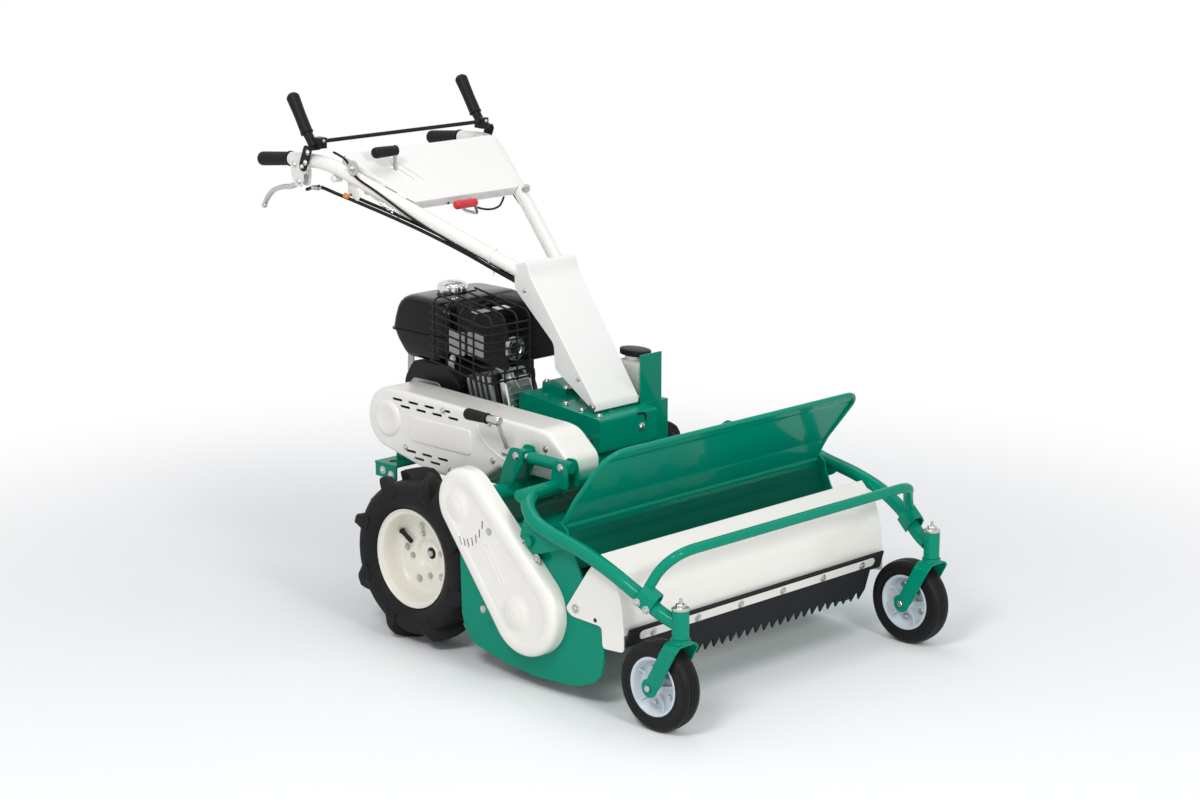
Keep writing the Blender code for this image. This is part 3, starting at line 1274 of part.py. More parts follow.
def control_cable():
    """Cable from the near lever, clipped along the tube down to the column."""
    stops = [(-0.277, 1.386, 1.002), (-0.272, 1.345, 1.012), (-0.262, 1.290, 1.000), (-0.240, 1.238, 0.982),
             (-0.205, 1.160, 0.950), (-0.168, 1.075, 0.912), (-0.126, 0.985, 0.868), (-0.086, 0.900, 0.818),
             (-0.050, 0.838, 0.782)]
    points = smooth_path([at(*stop) for stop in stops], 2)
    return finish(tube("control_cable", points, 0.0042, 1), "black rubber")


def build_handle():
    column_cover()
    handle_frame()
    control_panel()
    control_cable()
    carry(joint_at("speed_lever_axis", at(SPEED_X, *SPEED_PIVOT)), speed_lever())
    carry(joint_at("red_lever_axis", at(0, *RED_PIVOT)), red_lever())
    carry(joint_at("bail_axis", at(0, *BAIL_PIVOT)), control_bail())
    for side in (NEAR, FAR):
        hand_grip(side)
        hinge = joint_at("hand_lever_axis_" + SIDE_NAMES[side], at(side * GRIP_X, *LEVER_PIVOT))
        carry(hinge, hand_lever(side))


build_drive_wheels()
build_front_gear()
build_cutter_head()
build_chassis()
build_engine()
build_handle()
bpy.context.view_layer.update()
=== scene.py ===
# Walk-behind hammer knife mower: finishes, finer shapes, small parts, floor, light and camera
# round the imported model. Shapes are in millimetres until meshFrom turns them into metres, and a
# station is a distance back from the caster swivels.
import json
import math

import bmesh
import bpy
import numpy as np
from mathutils import Matrix, Vector

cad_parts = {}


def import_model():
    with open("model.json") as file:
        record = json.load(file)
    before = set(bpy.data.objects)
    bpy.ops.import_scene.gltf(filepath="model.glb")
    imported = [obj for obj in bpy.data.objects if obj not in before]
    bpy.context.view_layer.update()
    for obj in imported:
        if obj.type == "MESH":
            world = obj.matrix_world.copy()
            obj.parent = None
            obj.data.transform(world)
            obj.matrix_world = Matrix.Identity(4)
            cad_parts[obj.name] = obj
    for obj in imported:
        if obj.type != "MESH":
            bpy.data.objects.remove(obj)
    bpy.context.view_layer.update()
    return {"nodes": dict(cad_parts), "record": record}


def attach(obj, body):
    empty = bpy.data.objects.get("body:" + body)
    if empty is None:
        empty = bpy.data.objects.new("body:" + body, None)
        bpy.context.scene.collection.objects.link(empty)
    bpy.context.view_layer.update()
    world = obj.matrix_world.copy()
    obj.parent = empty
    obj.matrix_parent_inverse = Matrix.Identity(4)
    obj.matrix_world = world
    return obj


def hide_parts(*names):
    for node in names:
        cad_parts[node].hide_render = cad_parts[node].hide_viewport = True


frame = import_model()
nodes = frame["nodes"]
nodeBody = {node: body for body, names in frame["record"]["behaviour"]["bodies"].items() for node in names}
perMetre = 1000
midStation = 760
xAxis, yAxis, zAxis = (1, 0, 0), (0, 1, 0), (0, 0, 1)
sides = ((-1, "near"), (1, "far"))


# shapes: each is an array of points and a list of faces

def world(rows):
    # rows of side, station and height, as places in the world
    return np.asarray(rows, float) - (0, midStation, 0)


def at(x, station, z):
    # one place in the world
    return world((x, station, z))


def unit(v):
    # each row divided by its own length
    v = np.asarray(v, float)
    return v / np.linalg.norm(v, axis=-1, keepdims=True)


def around(count):
    # the angles of a full turn in equal steps
    return np.linspace(0, 2 * np.pi, count, endpoint=False)


def leaning(turn):
    # Y and Z turned about X by an angle in degrees
    a = math.radians(turn)
    return np.array((0, math.cos(a), math.sin(a))), np.array((0, -math.sin(a), math.cos(a)))


def squareTo(curve):
    # the direction square to a flat curve at each of its points
    run = unit(np.gradient(curve, axis=0))
    return np.stack([-run[:, 1], run[:, 0]], 1)


def withMirror(rows, flip):
    # rows, then the same rows times flip from last to first
    rows = np.asarray(rows, float)
    return np.concatenate([rows, (rows * flip)[::-1]])


def gridShape(grid, loop=True, ring=False):
    # quads between neighbouring points of a grid; loop joins the last column to the first and
    # closes both ends, and ring joins the last row to the first instead
    rows, cols = grid.shape[:2]
    r = np.arange(rows if ring else rows - 1)[:, None]
    c = np.arange(cols if loop else cols - 1)[None, :]
    r2, c2 = (r + 1) % rows, (c + 1) % cols
    corners = np.broadcast_arrays(r * cols + c, r * cols + c2, r2 * cols + c2, r2 * cols + c)
    faces = np.stack(corners, -1).reshape(-1, 4).tolist()
    if loop and not ring:
        faces += [list(range(cols))[::-1], list(range((rows - 1) * cols, rows * cols))]
    return grid.reshape(-1, 3), faces


def turned(profile, centre, axis=xAxis, steps=48, ring=False, wave=0):
    # a profile of (along, radius) carried round an axis:
    # centre + along * axis + (radius + wave) * (cos a * across + sin a * up)
    along, radius = np.asarray(profile, float).T
    axis = unit(axis)
    up = zAxis if abs(axis[2]) < 0.8 else yAxis
    across = unit(np.cross(up, axis))
    a = around(steps)[:, None]
    spoke = np.cos(a) * across + np.sin(a) * np.cross(axis, across)
    reach = radius[:, None, None] + np.atleast_2d(wave)[..., None]
    return gridShape(centre + along[:, None, None] * axis + reach * spoke, ring=ring)


def pin(low, high, radius, centre, axis=xAxis, steps=24):
    # a plain round bar from low to high along its axis
    return turned([(low, 0), (low, radius), (high, radius), (high, 0)], centre, axis, steps)


def tube(path, radius, steps=16, ring=False):
    # a circle carried along a path: path + radius * (cos a * n1 + sin a * n2),
    # n1 and n2 square to the path and to the direction that the path follows least
    path = np.asarray(path, float)
    run = unit(np.roll(path, -1, 0) - np.roll(path, 1, 0) if ring else np.gradient(path, axis=0))
    least = np.linalg.svd(run)[2][-1]
    n1 = unit(np.cross(least, run))
    n2 = np.cross(run, n1)
    a = around(steps)[None, :, None]
    r = np.broadcast_to(np.asarray(radius, float), (len(path),))[:, None, None]
    return gridShape(path[:, None] + r * (np.cos(a) * n1[:, None] + np.sin(a) * n2[:, None]), ring=ring)


def slab(outline, origin, uAxis, vAxis, low, high):
    # a flat outline (u, v) given a thickness along the direction square to u and v
    u, v = np.asarray(uAxis, float), np.asarray(vAxis, float)
    flat = origin + np.asarray(outline, float) @ np.stack([u, v])
    out = np.cross(u, v)
    return gridShape(np.stack([flat + low * out, flat + high * out]))


def plate(outline, xStart, xEnd):
    # a plate across X, its outline as stations and heights
    return slab(outline, at(0, 0, 0), yAxis, zAxis, xStart, xEnd)


def block(size, centre):
    # a box of size (x, y, z): its Y and Z outline given a thickness along X
    w, d, h = (s / 2 for s in size)
    return slab([(-d, -h), (d, -h), (d, h), (-d, h)], centre, yAxis, zAxis, -w, w)


def arc(centre, radius, start, end, count):
    # centre + radius * (cos a, sin a), from start to end in degrees
    a = np.radians(np.linspace(start, end, count))
    return np.stack([centre[0] + radius * np.cos(a), centre[1] + radius * np.sin(a)], 1)


def roundEnded(half, radius, steps):
    # two half circles round (half, 0) and (-half, 0), and the straight lines between them
    return np.concatenate([arc((half, 0), radius, -90, 90, steps), arc((-half, 0), radius, 90, 270, steps)])


def roundRect(halfU, halfV, radius, steps=7):
    # four quarter circles, one at each corner of a rectangle, and straight lines between them
    quarters = [arc((su * (halfU - radius), sv * (halfV - radius)), radius, start, start + 90, steps)
                for su, sv, start in ((1, 1, 0), (-1, 1, 90), (-1, -1, 180), (1, -1, 270))]
    return np.concatenate(quarters)


def stacked(rows):
    # a column of rounded rectangles: height, middle x and station, half sizes, corner radius
    return gridShape(world([[(x + u, s + v, z) for u, v in roundRect(halfX, halfS, radius)]
                            for z, x, s, halfX, halfS, radius in rows]))


def loopAround(first, firstRadius, second, secondRadius, count=48):
    # the outline of a band round two circles: for each direction m, the circle whose edge reaches
    # further along m gives the point
    a = around(count)
    m = np.stack([np.cos(a), np.sin(a)], 1)
    c1, c2 = np.asarray(first, float), np.asarray(second, float)
    further = m @ c1 + firstRadius >= m @ c2 + secondRadius
    return np.where(further[:, None], c1 + firstRadius * m, c2 + secondRadius * m)


def roundCorners(corners, radius, steps=6, closed=False):
    # each corner becomes a curve p0 (1-t)^2 + 2 p1 t (1-t) + p2 t^2 between points on its two sides
    corners = np.asarray(corners, float)

    def onSide(shift):
        # the point on a corner's side where its curve starts or ends
        side = np.roll(corners, shift, 0) - corners
        length = np.linalg.norm(side, axis=1, keepdims=True)
        return (corners + side / length * np.minimum(radius, length * 0.45))[:, None]

    t = np.linspace(0, 1, steps)[None, :, None]
    curve = onSide(1) * (1 - t) ** 2 + 2 * corners[:, None] * t * (1 - t) + onSide(-1) * t * t
    if closed:
        return curve.reshape(-1, corners.shape[1])
    return np.concatenate([corners[:1], curve[1:-1].reshape(-1, corners.shape[1]), corners[-1:]])


def splinePath(points, perSpan=8):
    # a smooth curve through every point: the Catmull-Rom cubic of each span
    p = np.asarray(points, float)
    t = np.linspace(0, 1, perSpan, endpoint=False)[None, :, None]
    p0, p1, p2, p3 = (q[:, None] for q in (np.concatenate([p[:1], p[:-2]]), p[:-1], p[1:],
                                           np.concatenate([p[2:], p[-1:]])))
    curve = 0.5 * (2 * p1 + (p2 - p0) * t + (2 * p0 - 5 * p1 + 4 * p2 - p3) * t ** 2
                   + (3 * p1 - p0 - 3 * p2 + p3) * t ** 3)
    return np.concatenate([curve.reshape(-1, p.shape[1]), p[-1:]])


def hexBolt(place, axis, size, height, washer=0):
    # a washer, then a six-sided head with its top edge chamfered
    shapes = []
    if washer:
        rim = [(-1, 0), (-1, washer), (1.2, washer), (1.6, washer * 0.94), (1.6, 0)]
        shapes.append(turned(rim, place, axis, 28))
    headRim = [(-1, 0), (-1, size), (height * 0.78, size), (height, size * 0.84), (height, 0)]
    return shapes + [turned(headRim, place, axis, 6)]


def bolts(spots, axis, size, height, washer=0):
    # a bolt at each spot of side, station and height
    return [shape for spot in spots for shape in hexBolt(at(*spot), axis, size, height, washer)]


def domeScrew(place, axis, size):
    # a domed head on a thin flange
    a = np.radians(np.linspace(0, 90, 6))
    dome = np.stack([0.8 + size * 0.42 * np.sin(a), size * 0.86 * np.cos(a)], 1)
    return turned([(-1, 0), (-1, size), (0.8, size), *dome.tolist()], place, axis, 20)


def insetLoop(outline, inset):
    # every point of a closed outline moved square to its neighbours' chord, inwards
    outline = np.asarray(outline, float)
    after = np.roll(outline, -1, 0)
    chord = unit(after - np.roll(outline, 1, 0))
    area = np.sum(outline[:, 0] * after[:, 1] - outline[:, 1] * after[:, 0])
    return outline + inset * np.sign(area) * np.stack([-chord[:, 1], chord[:, 0]], 1)


def pressed(outline, rows):
    # a pressing across X: the outline inset by a row's second number, at the row's first number as x
    grid = [np.concatenate([np.full((len(outline), 1), x), insetLoop(outline, inset)], 1) for x, inset in rows]
    return gridShape(world(np.stack(grid)))


def casing(outline, xIn, xOut, radius, face, cutters):
    # a pressed sheet cover 3 mm thick, open at xIn, with a rounded edge round its face at xOut; the
    # face's outer rows are given as (x, inset), and cutters take slots out of it
    a = np.linspace(0, np.pi / 2, 6)
    edge = np.stack([xOut + radius * (1 - np.sin(a)), radius * (1 - np.cos(a))], 1)
    rows = [*face[0], *(edge[::-1] + 3).tolist(), (xIn, 3), (xIn, 0), *edge.tolist(), *face[1]]
    return carve(pressed(outline, rows), cutters)


def slotCutter(x, centre, length, height, turn, depth=12):
    # a round-ended slot through a face square to X
    return slab(roundEnded((length - height) / 2, height / 2, 7), at(x, *centre), *leaning(turn), -depth, depth)


def gripShape(start, end, count, steps, base, swell, tip, root, ribs=(0, 1, 0), waist=0):
    # a round grip: its radius is base + swell * s - waist * sin(pi s)^2, plus ribs four rows apart,
    # with a rounded tip and a flange or cone at the root
    s = np.linspace(0, 1, count)
    rib = (np.arange(count) % 4 < 2) & (s > ribs[0]) & (s < ribs[1])
    radius = base + swell * s - waist * np.sin(np.pi * s) ** 2 + ribs[2] * rib
    radius = np.where(s > tip[0], tip[1] - tip[2] * ((s - tip[0]) / (1 - tip[0])) ** 2, radius)
    radius = np.where(s < root[0], root[1] + root[2] * s / root[0], radius)
    return tube(start + s[:, None] * (end - start), radius, steps)


# pieces

def meshFrom(name, shapes):
    # all shapes in one mesh in metres, with doubles merged and faces turned outwards
    points, faces, start = [], [], 0
    for shapePoints, shapeFaces in shapes:
        points.append(shapePoints)
        faces += [[i + start for i in face] for face in shapeFaces]
        start += len(shapePoints)
    mesh = bpy.data.meshes.new(name)
    mesh.from_pydata((np.concatenate(points) / perMetre).tolist(), [], faces)
    bm = bmesh.new()
    bm.from_mesh(mesh)
    bmesh.ops.remove_doubles(bm, verts=bm.verts, dist=2e-6)
    bmesh.ops.recalc_face_normals(bm, faces=bm.faces)
    bm.to_mesh(mesh)
    bm.free()
    return mesh


def addObject(name, data):
    # an object at the origin, linked to the scene
    obj = bpy.data.objects.new(name, data)
    bpy.context.scene.collection.objects.link(obj)
    return obj


def makePiece(name, shapes, finish, body="chassis", node=None, bevel=0, segments=2, crease=38, limit=34):
    # one piece of the visual model; node is the CAD node that it stands for
    mesh = meshFrom(name, shapes)
    obj = addObject(name, mesh)
    mesh.materials.append(mat[finish])
    mesh.shade_smooth()
    if bevel:
        edge = obj.modifiers.new("edges", "BEVEL")
        edge.width, edge.segments = bevel / perMetre, segments
        edge.limit_method, edge.angle_limit = "ANGLE", math.radians(limit)
        obj.modifiers.new("even shading", "WEIGHTED_NORMAL").keep_sharp = True
    else:
        mesh.set_sharp_from_angle(angle=math.radians(crease))
    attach(obj, body)
    if node:
        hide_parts(node)


def carve(shape, cutters):
    # the shape less the cutters, as a shape again
    made = [addObject("carving", meshFrom("carving", [shape]))]
    for cutter in cutters:
        made.append(addObject("tool", meshFrom("tool", [cutter])))
        cut = made[0].modifiers.new("cut", "BOOLEAN")
        cut.operation, cut.solver, cut.object = "DIFFERENCE", "EXACT", made[-1]
    result = made[0].evaluated_get(bpy.context.evaluated_depsgraph_get()).to_mesh()
    points = np.zeros(len(result.vertices) * 3)
    result.vertices.foreach_get("co", points)
    faces = [list(face.vertices) for face in result.polygons]
    for item in made:
        bpy.data.objects.remove(item, do_unlink=True)
    return points.reshape(-1, 3) * perMetre, faces


def softCopy(node, finish, bevel=1.2, segments=2, more=(), limit=34):
    # the CAD node again with its flat faces merged and its edges rounded, plus finer shapes
    source = bmesh.new()
    source.from_mesh(nodes[node].data)
    bmesh.ops.remove_doubles(source, verts=source.verts, dist=1e-5)
    bmesh.ops.dissolve_limit(source, angle_limit=math.radians(0.6), verts=source.verts, edges=source.edges)
    points = np.array([v.co[:] for v in source.verts]) * perMetre
    faces = [[v.index for v in face.verts] for face in source.faces]
    source.free()
    makePiece(node + "_finished", [(points, faces), *more], finish, nodeBody[node], node, bevel, segments,
              limit=limit)


# finishes

def linear(hexText):
    # an sRGB hex colour as linear light: c / 12.92 up to 0.04045, else ((c + 0.055) / 1.055) ** 2.4
    channels = [int(hexText[i:i + 2], 16) / 255 for i in (1, 3, 5)]
    return (*[c / 12.92 if c <= 0.04045 else ((c + 0.055) / 1.055) ** 2.4 for c in channels], 1.0)


def addNode(owner, kind, settings=(), links=()):
    # a node of a kind; settings are its own values or its sockets' values, links join sockets to outputs
    node = owner.node_tree.nodes.new(kind)
    for key, value in dict(settings).items():
        if isinstance(key, str) and hasattr(node, key):
            setattr(node, key, value)
        else:
            node.inputs[key].default_value = value
    for key, output in dict(links).items():
        owner.node_tree.links.new(output, node.inputs[key])
    return node


def emptied(owner):
    # a material or world with nodes switched on and none in it
    owner.use_nodes = True
    owner.node_tree.nodes.clear()
    return owner


def makeFinish(name, colours, patchMm, grainMm, rough, bump, depthMm, surface, stretch=None):
    # two close colours in soft patches, a grain that drives the roughness, and a fine bump;
    # every pattern's size is in millimetres
    material = emptied(bpy.data.materials.new(name))
    place = addNode(material, "ShaderNodeTexCoord").outputs["Object"]
    if stretch:
        place = addNode(material, "ShaderNodeMapping", {"Scale": stretch}, {"Vector": place}).outputs[0]
    patches = addNode(material, "ShaderNodeTexNoise", {"Scale": perMetre / patchMm, "Detail": 3}, {"Vector": place})
    grain = addNode(material, "ShaderNodeTexNoise", {"Scale": perMetre / grainMm, "Detail": 4}, {"Vector": place})
    low, high = (linear(colour) for colour in colours.split())
    tint = addNode(material, "ShaderNodeMix", {"data_type": "RGBA", 6: low, 7: high}, {0: patches.outputs[0]})
    roughness = addNode(material, "ShaderNodeMapRange", {"To Min": rough[0], "To Max": rough[1]},
                        {"Value": grain.outputs[0]})
    normal = addNode(material, "ShaderNodeBump", {"Strength": bump, "Distance": depthMm / perMetre},
                     {"Height": grain.outputs[0]})
    shader = addNode(material, "ShaderNodeBsdfPrincipled", surface,
                     {"Base Color": tint.outputs[2], "Roughness": roughness.outputs[0], "Normal": normal.outputs[0]})
    addNode(material, "ShaderNodeOutputMaterial", (), {"Surface": shader.outputs[0]})
    return material


# each finish: the record's slot, two colours, size of the colour patches and of the grain, lowest and
# highest roughness, strength and depth of the bump, and the values of the surface shader
finishes = {
    # stoved alkyd enamel on steel: deep teal green, wet gloss, a faint orange peel about 2 mm across
    "greenEnamel": ("green_enamel", "#00876B #008B71", 180, 2.4, (0.16, 0.24), 0.08, 0.04, {
        "IOR": 1.33, "Specular IOR Level": 0.05, "Coat Weight": 0.24, "Coat Roughness": 0.03}),
    # the same enamel inside the cutter head, duller, its colour painted darker as shade for the deep inside of the head
    "shadeDarkenedEnamel": ("green_enamel", "#005644 #00614F", 120, 2.4, (0.40, 0.55), 0.12, 0.05, {
        "IOR": 1.33, "Specular IOR Level": 0.12}),
    # white enamel on pressed sheet: warm white, gloss, the same peel
    "whiteEnamel": ("white_enamel", "#ECE8E0 #F0EDE7", 220, 2.2, (0.20, 0.30), 0.08, 0.05, {
        "IOR": 1.5, "Coat Weight": 0.35, "Coat Roughness": 0.10}),
    # cream enamel on the pressed rims, a little duller
    "creamEnamel": ("cream_enamel", "#E9E4D6 #EEEADF", 90, 2.0, (0.30, 0.42), 0.10, 0.06, {
        "IOR": 1.5, "Coat Weight": 0.2, "Coat Roughness": 0.2}),
    # injection moulded ABS, smooth white with a soft gloss
    "whiteAbs": ("white_plastic", "#EEECE8 #F2F0ED", 200, 1.2, (0.24, 0.32), 0.05, 0.03, {"IOR": 1.53}),
    # black enamel on the pressed fuel tank, near mirror gloss
    "tankEnamel": ("black_enamel", "#060607 #0A0A0B", 120, 2.6, (0.12, 0.20), 0.05, 0.04, {
        "IOR": 1.36, "Specular IOR Level": 0.05, "Coat Weight": 0.34, "Coat Roughness": 0.03}),
    # black powder coat on small steel parts
    "blackPowder": ("black_enamel", "#131314 #1B1B1D", 60, 0.9, (0.30, 0.44), 0.25, 0.06, {
        "IOR": 1.4, "Specular IOR Level": 0.25}),
    # silicone heat paint on the muffler, dull black
    "heatPaint": ("black_enamel", "#151516 #202021", 40, 0.7, (0.42, 0.60), 0.30, 0.08, {
        "IOR": 1.36, "Specular IOR Level": 0.25}),
    # glass-filled nylon housings, black with a fine spark-eroded grain
    "blackNylon": ("black_plastic", "#141415 #1A1A1B", 70, 0.6, (0.38, 0.50), 0.35, 0.06, {
        "IOR": 1.4, "Specular IOR Level": 0.25}),
    # moulded natural rubber tyre: charcoal, dusty bloom in patches
    "tyreRubber": ("tyre_rubber", "#19191A #242425", 26, 1.4, (0.46, 0.66), 0.45, 0.25, {
        "IOR": 1.36, "Specular IOR Level": 0.2}),
    # solid black rubber on casters and grips
    "blackRubber": ("black_rubber", "#141415 #1D1D1E", 30, 1.0, (0.40, 0.56), 0.25, 0.10, {
        "IOR": 1.38, "Specular IOR Level": 0.25}),
    # calendered rubber sheet, flat charcoal with a faint fabric print
    "rubberSheet": ("black_rubber", "#26272A #2E2F33", 60, 1.1, (0.62, 0.80), 0.30, 0.12, {
        "IOR": 1.34, "Specular IOR Level": 0.15}),
    # sand-cast aluminium, light grey with a gritty skin of about 1 mm
    "castAluminium": ("cast_aluminium", "#9A9B9C #B4B5B6", 14, 1.0, (0.36, 0.52), 0.5, 0.12, {"Metallic": 0.85}),
    # die-cast and tumbled aluminium levers, smoother and brighter
    "tumbledAluminium": ("cast_aluminium", "#B9BABC #CBCCCE", 24, 1.4, (0.26, 0.38), 0.2, 0.06, {"Metallic": 1}),
    # bright zinc plate with a faint blue and yellow cast
    "zincPlate": ("zinc_plate", "#B8BCC0 #C6C4B6", 9, 0.8, (0.22, 0.36), 0.12, 0.03, {"Metallic": 1}),
    # polished chrome plate
    "chromePlate": ("chrome_plate", "#D2D3D6 #DCDDDF", 30, 3.0, (0.04, 0.10), 0.02, 0.02, {"Metallic": 1}),
    # turned steel, brushed round its axis; the lines are drawn coarser than real ones, about 0.6 mm
    "turnedSteel": ("bare_steel", "#77787A #8C8D8F", 20, 0.6, (0.32, 0.48), 0.15, 0.04, {"Metallic": 1}, (4, 1, 1)),
    # forged and hardened knife steel, dark scale
    "forgedSteel": ("bare_steel", "#3E3F41 #5A5B5D", 12, 1.2, (0.40, 0.62), 0.4, 0.12, {"Metallic": 0.9}),
    # polypropylene caster hubs, cool white with a waxy surface
    "paleNylon": ("grey_nylon", "#C4CED6 #D0D8DE", 40, 1.0, (0.36, 0.46), 0.12, 0.05, {
        "IOR": 1.49, "Subsurface Weight": 0.05}),
    # glossy red ABS grip
    "redAbs": ("red_plastic", "#C8242A #D22C30", 40, 1.0, (0.26, 0.36), 0.08, 0.03, {"IOR": 1.53}),
    # blow-moulded polyethylene bottle, milky
    "milkyPolyethylene": ("grey_plastic", "#B9BBB4 #C6C7C0", 30, 1.4, (0.36, 0.50), 0.15, 0.08, {
        "IOR": 1.51, "Subsurface Weight": 0.15}),
    # orange nylon marker
    "orangeNylon": ("red_plastic", "#D9772A #E08436", 20, 0.8, (0.36, 0.46), 0.10, 0.03, {"IOR": 1.53}),
    # painted shade: dark pieces that stand for the dark inside of holes and slots
    "shadowBlack": ("black_plastic", "#060606 #0A0A0A", 20, 1.0, (0.70, 0.85), 0.10, 0.05, {}),
}
mat = {name: makeFinish(name, *look[1:]) for name, look in finishes.items()}
print("finishes:", len(mat))


# drive wheels

driveWheel = {"x": 371, "station": 873, "radius": 205.7, "carcass": 183.8, "lugs": 8, "slant": 35, "firstLug": 11.8,
              "lugReach": 195, "top": 10.5, "steps": 96, "stemAngle": 30,
              "bolts": ((68, 7.2, (5, 77, 149, 221, 293)), (50, 6.0, (-13, 77, 167, 257)))}


def driveTyre(side, label, centre):
    w = driveWheel
    # sidewall and crown of one half, from the bead toe outwards and up to the centre line
    half = splinePath([(34.2, 116.5), (39.5, 121.5), (47, 129), (51.2, 138.5), (52.5, 149), (52.2, 158), (50.5, 168),
                       (45, 176), (34, 181.2), (0, w["carcass"])], 4)
    half = np.concatenate([[(34, 108.6)], half])
    shapes = [turned(np.concatenate([half, (half * (-1, 1))[-2::-1]]), centre, (side, 0, 0), w["steps"], ring=True)]
    # one lug as rows from the middle of the tread to the sidewall: across, top radius, foot radius, foot half width
    across, top, foot, wide = np.array([
        (-10, 203.5, 179, 20), (0, 205.7, 179, 22), (18, 205.7, 178, 24), (34, 205, 176, 26), (45, 201, 169, 28),
        (51.5, 192, 160, 28), (54.8, 179, 153, 26), (55, 164, 149, 21), (53, 156, 146, 16)]).T
    slant = (across - 15) * math.tan(math.radians(w["slant"])) / w["lugReach"]
    # the leading flank is steep and hooked, the trailing one is a long ramp
    flat = np.full(len(wide), w["top"])
    offset = np.stack([-wide * 0.55, -flat, 2 - flat, flat - 3, flat + 4, wide * 1.5], 1)
    radius = np.stack([foot, top - 3, top, top - 0.5, top - 4.5, foot], 1)
    for row in (-1, 1):
        for index in range(w["lugs"]):
            turn = 2 * np.pi * (index + (0 if row == side else 0.5)) / w["lugs"] + math.radians(w["firstLug"])
            a = turn + slant[:, None] + offset / w["lugReach"]
            grid = [np.broadcast_to(row * across[:, None], a.shape), radius * np.sin(a), -radius * np.cos(a)]
            shapes.append(gridShape(centre + np.stack(grid, -1)))
    makePiece("drive_tyre_lugged_" + label, shapes, "tyreRubber", "wheel_" + label, "drive_tyre_" + label, 1.8,
              limit=30)


def driveRim(side, label, centre):
    # one closed profile: hub and axle, dished disc, curled edge and the back of the rim
    w = driveWheel
    out = np.array((side, 0, 0))
    dish = splinePath([(34.5, 109.5), (32.5, 105.5), (20, 101), (4, 96.5), (-6, 91), (-10.8, 84), (-12, 77.5)], 5)
    front = [(-30, 0), (-30, 12.5), (-26.2, 13.5), (-25, 16), (-24.6, 23.5), (-25.6, 24.5), (-25.6, 25.5),
             (-24.6, 26.5), (-24.6, 33.5), (-22.5, 36), (-15, 38.5), (-12, 42)]
    curl = [(36.2, 113), (38.5, 115.3), (40.5, 116), (40, 117.8), (37.5, 118.2), (35, 116.5)]
    back = [(34.5, 108), (-34.5, 108), (-35, 115.3), (-38, 115.3), (-38, 104), (12, 104), (-6, 97.5), (-16, 86),
            (-18, 44), (-46, 40), (-46, 12.5), (-181, 12.5), (-181, 0)]
    makePiece("drive_rim_dished_" + label,
              [turned(np.concatenate([front, dish[::-1], curl, back]), centre, out, w["steps"])],
              "creamEnamel", "wheel_" + label, "drive_rim_" + label, crease=50)
    shapes = []
    for radius, size, angles in w["bolts"]:
        for angle in angles:
            shapes += hexBolt(centre - 12 * out + radius * leaning(angle)[0], out, size, 6, size * 1.35)
    shapes += hexBolt(centre - 26.2 * out, out, 8, 7)
    makePiece("wheel_bolts_" + label, shapes, "zincPlate", "wheel_" + label)
    spoke = leaning(w["stemAngle"])[0]
    stem = [(0, 0), (0, 7.5), (6, 6.2), (22, 4.8), (22.5, 5.8), (40, 5.5), (41.5, 4.5), (41.5, 0)]
    hub = [(-30, 0), (-30, 13), (-25.2, 13), (-24.5, 11.5), (-24.5, 0)]
    makePiece("valve_stem_" + label,
              [turned(stem, centre - 2 * out + 90 * spoke, -spoke, 20), turned(hub, centre, out, 28)],
              "blackRubber", "wheel_" + label)


for side, label in sides:
    wheelCentre = at(side * driveWheel["x"], driveWheel["station"], driveWheel["radius"])
    driveTyre(side, label, wheelCentre)
    driveRim(side, label, wheelCentre)
print("drive wheels")


# casters

caster = {"x": 424, "radius": 100, "trail": 58, "crown": 205.5, "legHalf": 33.5, "strap": (42, 4.5), "shoulder": 16,
          "swivelLow": 216, "swivelTop": 278, "ribs": 5, "firstRib": 28.6479, "steps": 72}


def casterTyre(centre):
    # tread of one half with its grooves, then the rounded shoulder and the flat side
    half = np.array([(0, 98.2), (1, 98.4), (1.6, 100), (6.2, 99.8), (6.8, 98.2), (8.4, 98.1), (9, 99.5), (14, 98.4),
                     *arc((14, 87.4), 11, 84, 8, 8), (25, 86), (24.8, 78), (23.2, 74), (23.8, 70), (23.8, 66.2)])
    return turned(np.concatenate([half[::-1], (half * (-1, 1))[1:]]), centre, xAxis, caster["steps"], ring=True)


def casterRim(centre):
    c = caster
    half = [(23.8, 65.6), (24.6, 64), (24, 60), (20, 57), (11, 54), (5.5, 50), (4.5, 44), (4.5, 26), (7, 21.5),
            (24, 18), (26, 16.5), (26, 8.2)]
    shapes = [turned(withMirror(half, (-1, 1)), centre, xAxis, c["steps"], ring=True)]
    # a rib on both faces, low at the web and high at hub and rim: its outline in spoke and width directions
    rib = np.array([(17, 21.5), (33, 12), (46, 11), (57.5, 19), (57.5, 2), (17, 2)])
    studs = []
    for index in range(c["ribs"]):
        for face in (-1, 1):
            ribWay, studWay = (leaning(c["firstRib"] + 360 / c["ribs"] * part)[0] for part in (index, index + 0.5))
            shapes.append(slab(rib * (1, face), centre, ribWay, xAxis, -2.2, 2.2))
            out = np.array((face, 0, 0))
            studs += hexBolt(centre + 40 * studWay + 4.5 * out, out, 5.8, 5, 7.8)
    return shapes, studs


